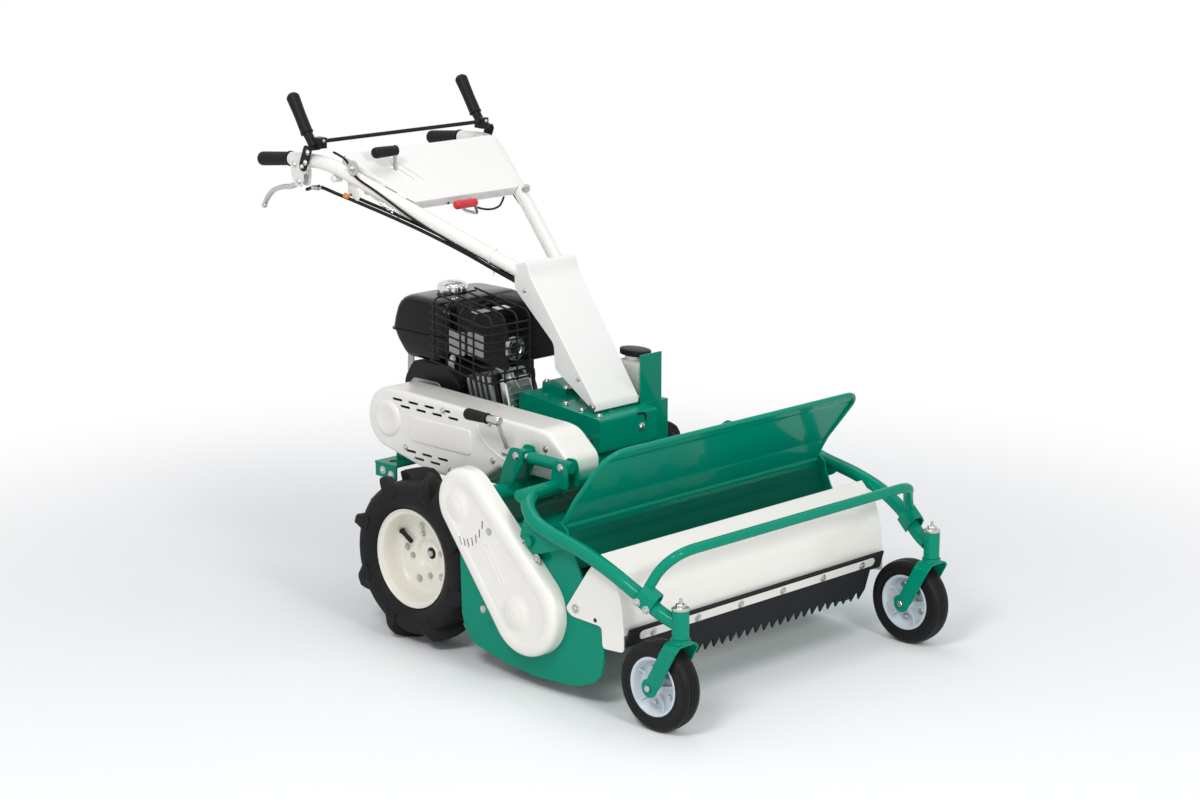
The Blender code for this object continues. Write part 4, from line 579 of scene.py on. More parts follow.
def casterFork(x, centre):
    c = caster
    half, crown, bend = c["legHalf"], c["crown"], c["shoulder"]
    # the strap's run: up one leg, round the shoulder, across the crown and down again
    leg = np.stack([np.full(8, -half), np.linspace(c["radius"], crown - bend, 8)], 1)
    run = withMirror(np.concatenate([leg, arc((-half + bend, crown - bend), bend, 180, 90, 9)[1:]]), (-1, 1))
    back = c["trail"] / (crown - c["radius"]) * np.maximum(0, crown - bend / 2 - run[:, 1])
    out = squareTo(run)
    w, t = (size / 2 for size in c["strap"])
    grid = [np.stack([x + run[:, 0] + out[:, 0] * n, back + s, run[:, 1] + out[:, 1] * n], 1)
            for s, n in ((-w, -t), (w, -t), (w, t), (-w, t))]
    collar = [(crown - 1, 0), (crown - 1, 21.5), (208.5, 22.5), (210.5, 20.8), (212, 20.8), (213.2, 22.2),
              (215.6, 21.5), (215.6, 0)]
    return [gridShape(world(np.stack(grid, 1))), turned(collar, at(x, 0, 0), zAxis, 40),
            *[pin(half - 2.9, half + 2.9, 20.9, centre, (face, 0, 0), 40) for face in (-1, 1)]]


def swivelCap(x, centre):
    c = caster
    # washer, nut and grease nipple, as heights above the swivel tube and radii
    stack = (([(0.3, 0), (0.3, 18.8), (1.2, 19.6), (4.8, 19.6), (6, 18.2), (7.2, 16.5), (7.6, 0)], 40),
             ([(4, 0), (4, 11.2), (12.5, 11.2), (14.2, 9.8), (14.2, 0)], 6),
             ([(13, 0), (13, 4.8), (17, 4.8), (18.5, 2.8), (21, 2.6), (22.5, 3.6), (24.5, 3.4), (25.8, 1.8), (25.8, 0)],
              16))
    shapes = [turned(rim, at(x, 0, c["swivelTop"]), zAxis, steps) for rim, steps in stack]
    low, high = c["swivelLow"] - 1, c["swivelTop"] + 2
    shapes.append(turned([(low, 11.8), (low, 11.9), (high, 11.9), (high, 11.8)], at(x, 0, 0), zAxis, 24, ring=True))
    for face in (-1, 1):
        shapes += hexBolt(centre + (face * (c["legHalf"] + 2.9), 0, 0), (face, 0, 0), 8, 6.2)
    return shapes


for side, label in sides:
    x = side * caster["x"]
    centre = at(x, caster["trail"], caster["radius"])
    rimShapes, rimStuds = casterRim(centre)
    body = "caster_" + label
    makePiece("caster_tyre_grooved_" + label, [casterTyre(centre)], "blackRubber", body, "caster_tyre_" + label,
              crease=30)
    makePiece("caster_rim_ribbed_" + label, rimShapes, "paleNylon", body, "caster_rim_" + label, 0.9)
    makePiece("caster_rim_bolts_" + label, rimStuds, "zincPlate", body)
    makePiece("caster_fork_strap_" + label, casterFork(x, centre), "greenEnamel", "fork_" + label,
              "caster_fork_" + label, 1.2)
    makePiece("caster_swivel_cap_" + label, swivelCap(x, centre), "zincPlate", "fork_" + label)
print("casters")


# caster frame, front bar and height screw

lift = {"frameTube": 16, "barTube": 11.5, "x": -312, "screwZ": 485, "crankPin": (-335, 560), "rings": 62}


def casterFrame():
    # the frame's tube from one swivel to the other, given from its near end to its middle
    stops = [(-424, 12, 247), (-434, 50, 264), (-451, 110, 303), (-459, 180, 337), (-459.5, 260, 362), (-459, 350, 380),
             (-455, 405, 396), (-440, 445, 418), (-410, 468, 433), (-370, 475, 438)]
    shapes = [tube(splinePath(world(withMirror(stops, (-1, 1, 1)))), lift["frameTube"], 28)]
    low, top = caster["swivelLow"], caster["swivelTop"]
    ring = [(low, 13.2), (low, 18), (low + 1, 18.9), (low + 4, 18.5), (top - 4, 18.5), (top - 1, 18.9), (top, 18),
            (top, 13.2)]
    gusset = roundCorners([(306, 366), (318, 352), (405, 322), (436, 318), (464, 330), (456, 372), (440, 415),
                           (372, 384)], 10, 5, closed=True)
    for side, _ in sides:
        shapes.append(turned(ring, at(side * caster["x"], 0, 0), zAxis, 40, ring=True))
        shapes.append(plate(gusset, side * 445.5, side * 450.5))
    ear = roundCorners([(432, 438), (488, 438), (484, 474), (470, 501), (440, 501), (434, 485)], 10, 5, closed=True)
    return shapes + [plate(ear, lift["x"] + low, lift["x"] + low + 4) for low in (-18.6, 14.6)]


def frontBar():
    bends = withMirror([(-438.5, 80, 312), (-416, 67, 354), (-382, 36.5, 388.5)], (-1, 1, 1))
    shapes, studs = [tube(roundCorners(world(bends), 45, 12), lift["barTube"], 28)], []
    # the clamp round the frame's tube at each end, as its outer and its inner line
    inner, outer = lift["frameTube"] + 0.6, lift["frameTube"] + 3.8
    saddle = np.concatenate([withMirror([(-outer, -13), (-outer, 20), (10 - outer, 34)], (-1, 1)),
                             withMirror([(inner, -13), (inner, 18), (inner - 9, 30.5)], (-1, 1))])
    for side, _ in sides:
        turn = Matrix.Rotation(-side * 0.29, 3, "Z") @ Matrix.Rotation(math.radians(32), 3, "X")
        u, along, v = (np.array(turn.col[i]) for i in range(3))
        centre = at(side * 443.5, 80, 283.5)
        shapes.append(slab(saddle, centre, u, v, -21, 21))
        for s in (-13, 13):
            studs += hexBolt(centre + along * s - v * 6 + side * u * outer, side * u, 6.8, 5.5, 9)
    return shapes, studs


barShapes, barStuds = frontBar()
makePiece("caster_frame_tube", casterFrame(), "greenEnamel", "lift_frame", "caster_frame", 1)
makePiece("front_bar_tube", barShapes, "greenEnamel", "lift_frame", "front_bar", 1.2)
makePiece("front_bar_bolts", barStuds, "zincPlate", "lift_frame")

screwAxis = at(lift["x"], 0, lift["screwZ"])
sleeve = [(437, 0), (437, 13.2), (438.2, 14), (568.8, 14), (570, 13.2), (570, 11.4), (462, 11.4), (462, 0)]
makePiece("lift_screw_sleeve", [turned(sleeve, screwAxis, yAxis, 36)], "greenEnamel", "screw_tube", "lift_screw_tube",
          crease=30)
pinShapes = [shape for face in (-1, 1)
             for shape in hexBolt(at(lift["x"] + face * 18.6, 455, lift["screwZ"]), (face, 0, 0), 7.5, 4.5, 9.8)]
makePiece("lift_screw_pin", pinShapes, "zincPlate", "lift_frame")

# the thread is drawn as rings 2 mm apart, as coarse as a real one of this size
threadAlong = np.linspace(480, 604, lift["rings"] * 2)
thread = [(480, 0), *zip(threadAlong, [8, 6.9] * lift["rings"]), (604, 0)]
crankBoss = [(602, 0), (602, 8), (607.6, 8), (607.6, 11), (609, 11.6), (654.5, 11.6), (657, 10), (657, 0)]
crankPin = [(645, 0), (645, 8.5), (647.5, 10.3), (682, 10.3), (684, 9.5), (684, 4.5), (745, 4), (745, 0)]
pinX, pinZ = lift["crankPin"]
armStart, armEnd = at(lift["x"], 642, lift["screwZ"]), at(pinX, 657, pinZ)
crankShapes = [turned(thread, screwAxis, yAxis, 24), turned(crankBoss, screwAxis, yAxis, 36),
               tube(splinePath([armStart + (0, 4, 0), armStart, armEnd, armEnd + (0, 2, 2)], 6), 5),
               turned(crankPin, at(pinX, 0, pinZ), yAxis, 32)]
makePiece("lift_crank_plated", crankShapes, "zincPlate", "crank", "lift_crank", crease=40)
# the grip has lengthwise flutes: its radius is less by 0.035 * radius * (1 + cos 16a) / 2
grip = np.array([(684.6, 9.5), (685.2, 12.2), (688, 12.8), (690, 12.2), (700, 12.4), (725, 13.2), (748, 13.7),
                 (753, 13.4), (756.2, 11.8), (757.2, 8)])
flutes = -0.035 * grip[:, 1:] * np.outer([0, 0, 0, 1, 1, 1, 1, 0, 0, 0], (1 + np.cos(16 * around(96))) / 2)
makePiece("crank_grip_fluted", [turned(grip, at(pinX, 0, pinZ), yAxis, 96, wave=flutes)], "blackRubber",
          "crank_knob", "crank_grip", crease=50)
print("caster frame and height screw")


# cutter head: cover, hood, flap, side cover

head = {"coverHalf": 420, "hinge": (355, 388), "coverTop": (218, 575), "corner": 50, "sheet": 3, "hoodHalf": 437.5,
        "rotor": (435, 188), "cross": (630, 397), "sideX": (-434, -475), "flapLean": 16, "flapFoot": (145, 202),
        "stripBolts": (-355.6, -214.4, -73.5, 68.5, 208.1, 348.3)}


def deckCover():
    h = head
    corner, hinge = h["corner"], np.array(h["hinge"])
    rise = h["coverTop"] - hinge
    length = np.linalg.norm(rise)
    up = rise / length
    out = np.array((-up[1], up[0]))
    v = np.concatenate([[0, 30, 54, 57, 60, 63, 110, 140, 160],
                        length - 50 + 50 * np.sin(np.radians(np.linspace(0, 90, 16)))])
    # two folds along the sheet: a crease low down and a step just inside the rim
    bow = np.interp(v, [0, 55, 61, length - 34, length - 28, length], [0, 7, 9.2, 5, 2.2, 0])
    half = h["coverHalf"] - corner + np.sqrt(corner ** 2 - np.clip(v - (length - corner), 0, corner) ** 2)
    share = np.linspace(-1, 1, 15)
    offset = np.repeat([-1, 1], 15) * h["sheet"] / 2 - bow[:, None]
    place = hinge + v[:, None, None] * up + offset[..., None] * out
    x = half[:, None] * np.concatenate([share, share[::-1]])
    shapes = [gridShape(world(np.concatenate([x[..., None], place], -1)))]
    # the rolled rim runs up one side, round the corners, across the top and down
    turn = np.radians(np.linspace(0, 90, 8))
    u = np.concatenate([[h["coverHalf"]] * 5, h["coverHalf"] - corner * (1 - np.cos(turn))])
    w = np.concatenate([[-2, 40, 72, 110, 160], length - corner * (1 - np.sin(turn))])
    u, w = withMirror(np.stack([u, w], 1), (-1, 1)).T
    bend = np.interp(w, [0, 61, length], [0, 9, 0])
    shapes.append(tube(world(np.concatenate([u[:, None], hinge + w[:, None] * up - bend[:, None] * out], 1)), 5.5, 14))
    barrel = withMirror([(-426.2, 0), (-426.2, 6.6), (-425.2, 7.4)], (-1, 1))
    shapes.append(turned(barrel, at(0, *hinge), xAxis, 24))
    makePiece("deck_cover_pressed", shapes, "greenEnamel", "cover", "deck_cover", 0.6, limit=50)


def frontHood():
    h = head
    curve = splinePath([(222.5, 357.5), (213, 349), (183, 318), (165.5, 272), (158, 230), (154, 187)], 5)
    square = squareTo(curve)
    # the outer and inner faces as one closed section, with a shallow bead near each end
    section = np.concatenate([curve, (curve + square * h["sheet"])[::-1]])
    both = np.concatenate([square, square[::-1]])
    grid = [np.concatenate([np.full((len(section), 1), x), section + dent * both], 1)
            for x, dent in withMirror([(-436.8, 0), (-400, 0), (-399, 0.5), (-398, 0.5), (-397, 0)], (-1, 1))]
    cheek = roundCorners([(154, 187), (154, 150), (218, 146), (221, 194), (313, 198), (332, 212), (262, 312),
                          (222.5, 357.5)], 10, 5)
    cheek = np.concatenate([curve + square * 0.8, cheek[1:-1]])
    shapes, studs = [gridShape(world(np.stack(grid)))], []
    for side, _ in sides:
        shapes.append(plate(cheek, side * (h["hoodHalf"] - 3.5), side * h["hoodHalf"]))
        studs += hexBolt(at(side * h["hoodHalf"], 300, 218), (side, 0, 0), 6.8, 5.2, 10.5)
    makePiece("front_hood_pressed", shapes, "whiteEnamel", "chassis", "front_hood", 0.9, limit=45)
    makePiece("hood_bolts", studs, "zincPlate")
    # a dark disc on the hood's side, painted shade for the inside of a hole
    makePiece("hood_holes", [pin(-0.5, 0.4, 5, at(-h["hoodHalf"], 240, 205), (-1, 0, 0), 20)], "shadowBlack")


def onFlap(x, v, ahead):
    # a place on the leaning flap: v is measured up along the flap, ahead is square to it
    station, top = head["flapFoot"]
    lean, down = math.radians(head["flapLean"]), top - v
    return at(x, station + down * math.sin(lean) - ahead * math.cos(lean),
              top - down * math.cos(lean) - ahead * math.sin(lean))


def flapAndStrip():
    # the strip is a round-ended bar that lies along the flap's top edge
    softCopy("front_flap", "rubberSheet", 0.6, limit=50)
    foot = onFlap(0, 0, 0)
    v, ahead = unit(onFlap(0, 1, 0) - foot), unit(onFlap(0, 0, 1) - foot)
    strip = slab(roundEnded(385, 10.5, 14), onFlap(0, 183, 4.5), xAxis, v, -1.5, 1.5)
    makePiece("flap_strip_rounded", [strip], "whiteEnamel", "chassis", "flap_strip", 0.7, 3)
    studs = [shape for x in head["stripBolts"] for shape in hexBolt(onFlap(x, 183, 6), ahead, 6.4, 5, 9.2)]
    makePiece("flap_strip_bolts", studs, "zincPlate")


def sideCover():
    xIn, xOut = head["sideX"]
    slots = ((629, 313, 68), (618, 311, 72), (606, 311.5, 76), (592.5, 316.5, 80), (580, 326, 84), (568.5, 340.5, 88),
             (559, 362, 92))
    face = [(xOut + 4.8, 40), (xOut + 4.6, 21.5)], [(xOut, 30), (xOut + 0.4, 31.5), (xOut + 1.6, 34.5), (xOut + 2, 37)]
    shapes = [casing(loopAround(head["cross"], 80, head["rotor"], 104, 120), xIn, xOut, 18, face,
                     [slotCutter(xOut, (station, z), 20, 4.6, turn) for station, z, turn in slots])]
    # a round boss over each pulley: x from the face, radius from the boss's own
    boss = np.array([(3.2, 10), (1.9, 10), (0.8, 3), (-1, -2), (-2.8, -6.5), (-3.4, -13), (-3.6, -16), (-5.2, -19),
                     (-5.8, -22)])
    for centre, radius in (((640, 392), 30), ((452, 181), 34)):
        shapes.append(turned([*(boss + (xOut, radius)), (xOut - 5.9, 0), (xOut + 3.2, 0)], at(0, *centre), xAxis, 56))
    lean = unit((54.1, 80.2))
    recess = (518.9, 274.7) + roundEnded(46, 8.5, 9) @ np.array([lean, (-lean[1], lean[0])])
    shapes.append(pressed(recess, [(xOut + 3, 0), (xOut + 1.2, 0), (xOut + 0.8, 1.4), (xOut + 1.4, 3)]))
    makePiece("side_cover_pressed", shapes, "whiteEnamel", "chassis", "side_cover", crease=40)
    return bolts([(xOut + 1.8, 536.8, 351.4), (xOut + 1.8, 557.9, 167.5)], (-1, 0, 0), 5.6, 4.4, 8.5)


def innerWall():
    # the steep wall behind the open mouth of the head, from under the hinge lip down past the hood's top edge
    line = splinePath([(349, 373.8), (341.3, 359), (338.5, 345), (332, 329), (326, 310), (321.5, 296)], 5)
    section = np.concatenate([line, (line + 2 * squareTo(line))[::-1]])
    grid = [np.concatenate([np.full((len(section), 1), x), section], 1) for x in np.linspace(-426, 426, 7)]
    # its darker enamel is painted shade, and its top runs up under the hinge lip to cover the deck's lip with the same
    # painted shade
    makePiece("head_inner_wall", [gridShape(world(np.stack(grid)))], "shadeDarkenedEnamel", crease=50)


deckCover()
frontHood()
innerWall()
flapAndStrip()
deckStuds = sideCover()
softCopy("mower_deck", "greenEnamel", 1.4)
softCopy("rotor_bearing_cap", "castAluminium", 1.5)
deckStuds += bolts([(-450.5, 452, 335), (-450.5, 408, 310)], (-1, 0, 0), 8.2, 6.5, 12)
deckStuds += bolts([(433, 395, 300), (433, 480, 255), (433, 350, 240), (433, 520, 140), (433, 560, 210)], xAxis,
                   6.8, 5.2, 10.5)
makePiece("cutter_head_bolts", deckStuds, "zincPlate")
print("cutter head")


# belt case

beltCase = {"x": (-180, -275), "crank": (1102, 481), "slot": (36, 6.2), "step": -56.5,
            "slotRows": ((1067.5, 532, 4), (1040, 518, 4), (1021, 413, 3), (992, 399, 2))}


def beltCaseShell():
    # a pressed cover over both pulleys, with vent slots, a raised panel, a bead and a round boss
    b = beltCase
    xIn, xOut = b["x"]
    front = roundCorners([(1118, 405), (960, 372), (800, 372), (715, 428), (510, 428), (486, 455), (487, 486),
                          (545, 534.5), (575, 541.8), (640, 544)], 14, 8)
    outline = np.concatenate([arc((1102, 480), 75.5, 92, -70, 22), front[4:],
                              [(760, 547.5), (880, 550.5), (1000, 554)]])[::-1]
    cutters = [slotCutter(xOut, (start + index * b["step"], z), *b["slot"], 0)
               for start, z, count in b["slotRows"] for index in range(count)]
    shapes = [casing(outline, xIn, xOut, 11, ([(xOut + 3.2, 28)], [(xOut, 20)]), cutters)]
    raised = roundCorners([(808, 438), (808, 501), (1022, 501), (1022, 440), (980, 438)], 14, 7, closed=True)
    shapes.append(pressed(raised, [(xOut + 1, 0), (xOut - 0.6, 0.3), (xOut - 2.2, 2.2), (xOut - 2.6, 4.5)]))
    line = [(xOut, 560, 462), (xOut, 620, 446), (xOut, 700, 452), (xOut, 770, 486), (xOut, 790, 520)]
    shapes.append(tube(splinePath(world(line)), 1.6, 10))
    boss = [(2, 45), (-0.8, 45), (-3, 42.8), (-5.8, 38.5), (-6.8, 32), (-5.8, 28), (-5.4, 0), (2, 0)]
    shapes.append(turned(boss, at(xOut, *b["crank"]), xAxis, 56))
    makePiece("belt_case_pressed", shapes, "whiteEnamel", "chassis", "belt_case", crease=40)
    spots = ((560, 500), (745, 528), (905, 532), (1040, 420), (880, 392), (735, 442))
    makePiece("belt_case_bolts", bolts([(xOut, *spot) for spot in spots], (-1, 0, 0), 5.2, 4, 7.8), "zincPlate")


beltCaseShell()
print("belt case")


# engine

engine = {"tank": (-29, 139), "cap": (-50, 1116, 748.5), "outlet": (-116, 823, 668), "lean": -14,
          "louvres": ((870, 661), (935, 657)), "muffler": (-205, -135),
          "guard": {"near": -228, "far": -88, "front": 806, "rear": 1000, "wire": 2.4, "slope": 0.16, "low": 596,
                    "hoops": (602, 621, 640, 659, 678, 697, 716, 735), "top": 752, "inside": 3.7,
                    "ribs": (990, 944, 898, 852), "bars": (-205, -165, -125, -85)}}


def fuelTank():
    middle, half = engine["tank"]
    # rows upwards: height, cut from each side, first and last station, corner radius
    rows = [(601, 34, 1052, 1172, 18), (602.5, 27, 1044, 1180, 22), (607, 21, 1037, 1188, 24),
            (616, 17, 1031, 1194, 24), (645, 8, 1020, 1207, 24), (667, 4, 1016.5, 1214.5, 24),
            (668.2, -2.5, 1010.5, 1219, 27), (671.8, -2.5, 1010.5, 1219, 27), (673, 1, 1014, 1215, 24),
            (700, 1, 1014, 1208, 24), (725, 2, 1015, 1200, 25), (738, 5, 1018, 1194, 26), (747, 11, 1024, 1187, 26),
            (752.5, 20, 1033, 1178, 25), (754.6, 32, 1045, 1166, 22)]
    body = stacked([(z, middle, (first + last) / 2, half - cut, (last - first) / 2, radius)
                    for z, cut, first, last, radius in rows])
    neck = [(-10, 0), (-10, 46), (-2, 44.5), (2, 41.5), (3.5, 38), (6.2, 37), (6.5, 0)]
    place = at(*engine["cap"])
    makePiece("fuel_tank_pressed", [body, turned(neck, place, zAxis)], "tankEnamel", "chassis", "fuel_tank", crease=32)
    # eight flutes, rounded waves round the axis: the radius is less by depth * radius * (1/2 + cos 8a / 2)^2
    cap = np.array([(6.8, 36.2), (7.2, 37.8), (10, 38.6), (23, 38.4), (26.2, 37.4), (28.8, 35), (31.8, 29.5),
                    (34.2, 21.5), (35.8, 12), (36.6, 2)])
    depth = np.array([0, 0.04, 0.075, 0.075, 0.07, 0.05, 0.015, 0, 0, 0])
    wave = -np.outer(depth * cap[:, 1], (0.5 + 0.5 * np.cos(8 * around(96))) ** 2)
    makePiece("fuel_cap_fluted", [turned(cap, place, zAxis, 96, wave=wave)], "chromePlate", "tank_cap", "fuel_cap",
              crease=50)


def muffler():
    near, middle = engine["muffler"]
    outline = roundCorners([(830, 616), (830, 720), (862, 742), (1004, 762), (1004, 640)], 12, 6, closed=True)
    half = middle - near
    rows = withMirror([(half, 11), (half, 8), (half - 1.2, 4.2), (half - 4, 1.2), (half - 8, 0)], (-1, 1))
    cutters, inner = [], []
    for station, low in engine["louvres"]:
        cutters += [slotCutter(near, (station, low + index * 8.5), 48, 3, 8, 4.5) for index in range(6)]
        inner.append(slab(roundRect(27, 28, 4, 4), at(near + 3.6, station, low + 21.6), yAxis, zAxis, -0.4, 0.4))
    # the seam round the middle of the box
    seam = pressed(outline, [(-136.5, 4), (-136.5, -2.2), (-133.5, -2.2), (-133.5, 4)])
    makePiece("muffler_louvred", [carve(pressed(outline, rows + (middle, 0)), cutters), seam], "heatPaint", "chassis",
              "muffler", crease=40)
    x, station, z = engine["outlet"]
    ring = [(10, 0), (10, 28.5), (1.5, 28.5), (0, 27.2), (-0.3, 18), (1.2, 16), (7.5, 15), (8, 0)]
    makePiece("muffler_outlet_ring", [turned(ring, at(x, station, z), yAxis, 40)], "tumbledAluminium")
    # dark discs in the outlet ring, painted shade for the inside of its holes and its bore
    holes = [pin(-0.8, 1, 2.4, at(x + 22.6 * math.cos(a), station, z + 22.6 * math.sin(a)), yAxis, 12)
             for a in around(8)]
    makePiece("muffler_outlet_holes", [*holes, pin(6.8, 7.8, 14.5, at(x, station, z), yAxis, 6)], "shadowBlack")
    # the bright inner can, seen through the louvres
    makePiece("muffler_inner_can", inner, "castAluminium")
    plates = hexBolt(at(near, 945, 640), (-1, 0, 0), 6.2, 5, 8.8)
    plates += [slab(roundRect(22, 12, 3, 4), at(x, 905, 749.5), xAxis, unit((0, 1, 0.14)), -0.5, 1.6)
               for x in (-150, -85)]
    makePiece("muffler_plates", plates, "zincPlate")


def mufflerGuard():
    # hoops along the near side and round the front, ribs up the near side and over the top, bars up the
    # front and back along the top; all of them rise to the rear
    g = engine["guard"]
    near, far, front, inside = (g[key] for key in ("near", "far", "front", "inside"))

    def raised(base, station):
        # base + slope * distance behind the guard's front
        return base + g["slope"] * (station - front)

    runs = [[(near, g["rear"], raised(base, g["rear"])), (near, front, base), (far, front, base)]
            for base in g["hoops"]]
    for station in g["ribs"]:
        height = raised(g["top"], station)
        runs.append([(near + inside, station, raised(g["low"], station)), (near + inside, station, height),
                     (far, station, height)])
    for x in g["bars"]:
        runs.append([(x, front + inside, g["low"]), (x, front + inside, g["top"] + inside),
                     (x, 998, raised(g["top"], 998) + inside)])
    wires = [tube(roundCorners(world(run), 20, 8), g["wire"], 10) for run in runs]
    makePiece("muffler_guard_wires", wires, "blackPowder", "chassis", "muffler_guard", crease=60)


def smallEngineParts():
    u, v = leaning(engine["lean"])
    centre = at(-75, 863.6, 548.2)
    ribs = [slab(roundRect(34, 2.2, 2.1, 4), centre + v * s - u * 13, xAxis, v, -1.6, 1.6)
            for s in (-28, -14, 0, 14, 28)]
    softCopy("valve_cover", "tumbledAluminium", 1.5, more=ribs)
    studs = [shape for x in (-37, 37) for s in (-34, 34)
             for shape in hexBolt(centre + (x, 0, 0) + v * s - u * 10, -u, 4.8, 4, 6.8)]
    makePiece("valve_cover_bolts", studs, "zincPlate")
    cleaner = []
    for z in range(648, 738, 15):
        cleaner.append(slab(roundRect(42, 2.4, 2.3, 4), at(-38.5, 930, z), yAxis, zAxis, -1.2, 1.2))
        cleaner.append(slab(roundRect(46, 2.4, 2.3, 4), at(32, 864.5, z), xAxis, zAxis, -1.2, 1.2))
    softCopy("air_cleaner", "blackNylon", 2.5, 3, cleaner)
    starter = []
    for turn in range(0, 360, 15):
        spoke, along = leaning(turn)
        starter.append(slab(roundRect(14, 2, 1.9, 3), at(154.5, 1102, 481) + spoke * 50,
                            unit(spoke * 0.36 + (-0.2, 0, 0)), along, -2.2, 2.2))
    softCopy("recoil_starter", "blackNylon", 1.8, more=starter)
    softCopy("starter_grip", "blackRubber")
    softCopy("engine_block", "blackPowder", 3, 3)
    # bare fins round the cylinder, leaning forward with it
    fins = [slab(roundRect(60.6, 60.6, 10, 5), at(-75, 945, 528) + u * s, xAxis, v, -3.3, 3.3)
            for s in (-58, -40, -22, -4, 14)]
    makePiece("cylinder_fins_bare", fins, "castAluminium", bevel=0.6)
    # side cover of the crankcase and the tank's stays
    plates = [slab(roundRect(56, 58, 20, 8), at(-150, 1104, 496), yAxis, zAxis, -1.5, 4.5)]
    plates += [slab([(-12, -30), (12, -30), (9, 30), (-9, 30)], at(-135, station, 592), yAxis, zAxis, -2, 2)
               for station in (1030, 1175)]
    makePiece("crankcase_side_plate", plates, "castAluminium", bevel=1)
    pipe = splinePath(world([(-92, 905, 610), (-94, 880, 600), (-96, 868, 580), (-80, 865, 556)]), 6)
    makePiece("exhaust_elbow", [tube(pipe, 15, 20)], "castAluminium", crease=60)
    spots = ((105, 1010, 540), (105, 1165, 560), (105, 1170, 420), (105, 1020, 400))
    makePiece("engine_case_bolts", bolts(spots, xAxis, 5.6, 4.8), "zincPlate")


def reservoir():
    rows = [(547.5, 22.5, 40, 10), (549.5, 25.5, 43.5, 12), (555, 26.8, 44.8, 12), (615, 26.8, 44.8, 12),
            (624, 24.5, 42.5, 14), (629.2, 20, 36, 16), (630, 19.5, 20, 19), (640, 19.5, 20, 19)]
    makePiece("oil_bottle", [stacked([(z, 117, 665, *size) for z, *size in rows])], "milkyPolyethylene", crease=40)
    # an oval cap with ridges round its edge
    rows = [(640.2, 40), (640.5, 44), (642, 45), (652, 45), (654, 43.5), (655, 39), (655.2, 1)]
    ridge = -1.2 * np.outer([0, 1, 1, 1, 0.5, 0, 0], 0.5 + 0.5 * np.cos(30 * around(120)))
    points, faces = turned(rows, (0, 0, 0), zAxis, 120, wave=ridge)
    makePiece("oil_bottle_cap", [(points * (0.62, 1, 1) + at(130, 671, 0), faces)], "blackNylon", "chassis",
              "oil_reservoir", crease=40)


fuelTank()
muffler()
mufflerGuard()
smallEngineParts()
reservoir()
print("engine")


# column, transmission, frame

column = {"half": 72, "low": 540, "rise": 332, "widening": 0.12}

# a deep moulding, wider by its widening times the share of its height, its edges well rounded
side = roundCorners([(603, 540), (606.2, 560), (610, 566.6), (718, 710), (812, 836), (822, 872), (866, 858), (866, 800),
                     (738, 686), (736, 626)], 12, 6, closed=True)
points, faces = pressed(side, [(-column["half"], 0), (column["half"], 0)])
points[:, 0] *= 1 + column["widening"] * (points[:, 2] - column["low"]) / column["rise"]
makePiece("column_cover_moulded", [(points, faces)], "whiteAbs", "chassis", "column_cover", 8.5, 5, limit=40)
softCopy("transmission_case", "greenEnamel", 5, 3, limit=30)
# the hooked slot above the bolt on the gear case's front, drawn as a dark slab of painted shade
hook = roundCorners([(28.5, 532.5), (49, 531.8), (57.8, 525), (58, 509.5), (52.2, 509.5), (52, 522.5), (46.5, 526.5),
                     (28.5, 527.2)], 3, 5, closed=True)
makePiece("gear_case_slot", [slab(hook, at(0, 564.5, 0), xAxis, zAxis, -1, 0.5)], "shadowBlack")
softCopy("main_frame", "greenEnamel", 2, limit=30)
softCopy("rear_hitch", "greenEnamel")
softCopy("cross_tube", "greenEnamel", 1)
frontFacing = (0, -1, 0)
studs = bolts([(41, 564.5, 496.7)], frontFacing, 6.8, 5.2, 10.5)
studs += bolts([(lift["x"] - 23, 594, 488)], (-1, 0, 0), 7, 5.2, 10)
for side, _ in sides:
    out = (side, 0, 0)
    studs += bolts([(side * 72.5, 613, 554.5)], out, 6.8, 5.2, 9.5)
    studs += bolts([(side * 192, 1221, 315), (side * 192, 1191, 308)], out, 6.8, 5, 10)
    studs += [domeScrew(at(-side * x, station, z), out, 5.2)
              for x, station, z in ((-79.2, 831.3, 800.8), (-73.6, 658, 613.5))]
# the gear case's top slopes, and its raised rear part is a step higher
for x, station in ((-15, 757), (75, 757), (-15, 823), (75, 823), (-72, 590), (-72, 700), (-74, 645), (62, 720)):
    top = 570.5 + (station - 790) * 0.096 if station > 740 else 534.5 + (station - 565) * 0.0978
    studs += bolts([(x, station, top)], (0, -0.096, 1), 5.8, 4.8, 8.5)
hose = [(118, 700, 575), (108, 726, 590), (85, 755, 602), (62, 785, 596), (55, 795, 572)]
makePiece("reservoir_hose", [tube(splinePath(world(hose)), 6.2)], "blackRubber", crease=60)
makePiece("column_and_hitch_bolts", studs, "zincPlate")
print("column and frame")


# handle

handle = {"tube": 17, "gripX": 277, "bailPivot": (1372, 1062), "leverPivot": (1396, 1022),
          "speed": (-135.5, 1222, 1008), "red": (1175, 981), "member": 8, "rod": (1342, 1122)}


def rodFrom(start, end, profile, steps):
    # a turned rod between two places; a profile row is (share of the length, radius)
    span = float(np.linalg.norm(end - start))
    return turned([(share * span, radius) for share, radius in profile], start, unit(end - start), steps)


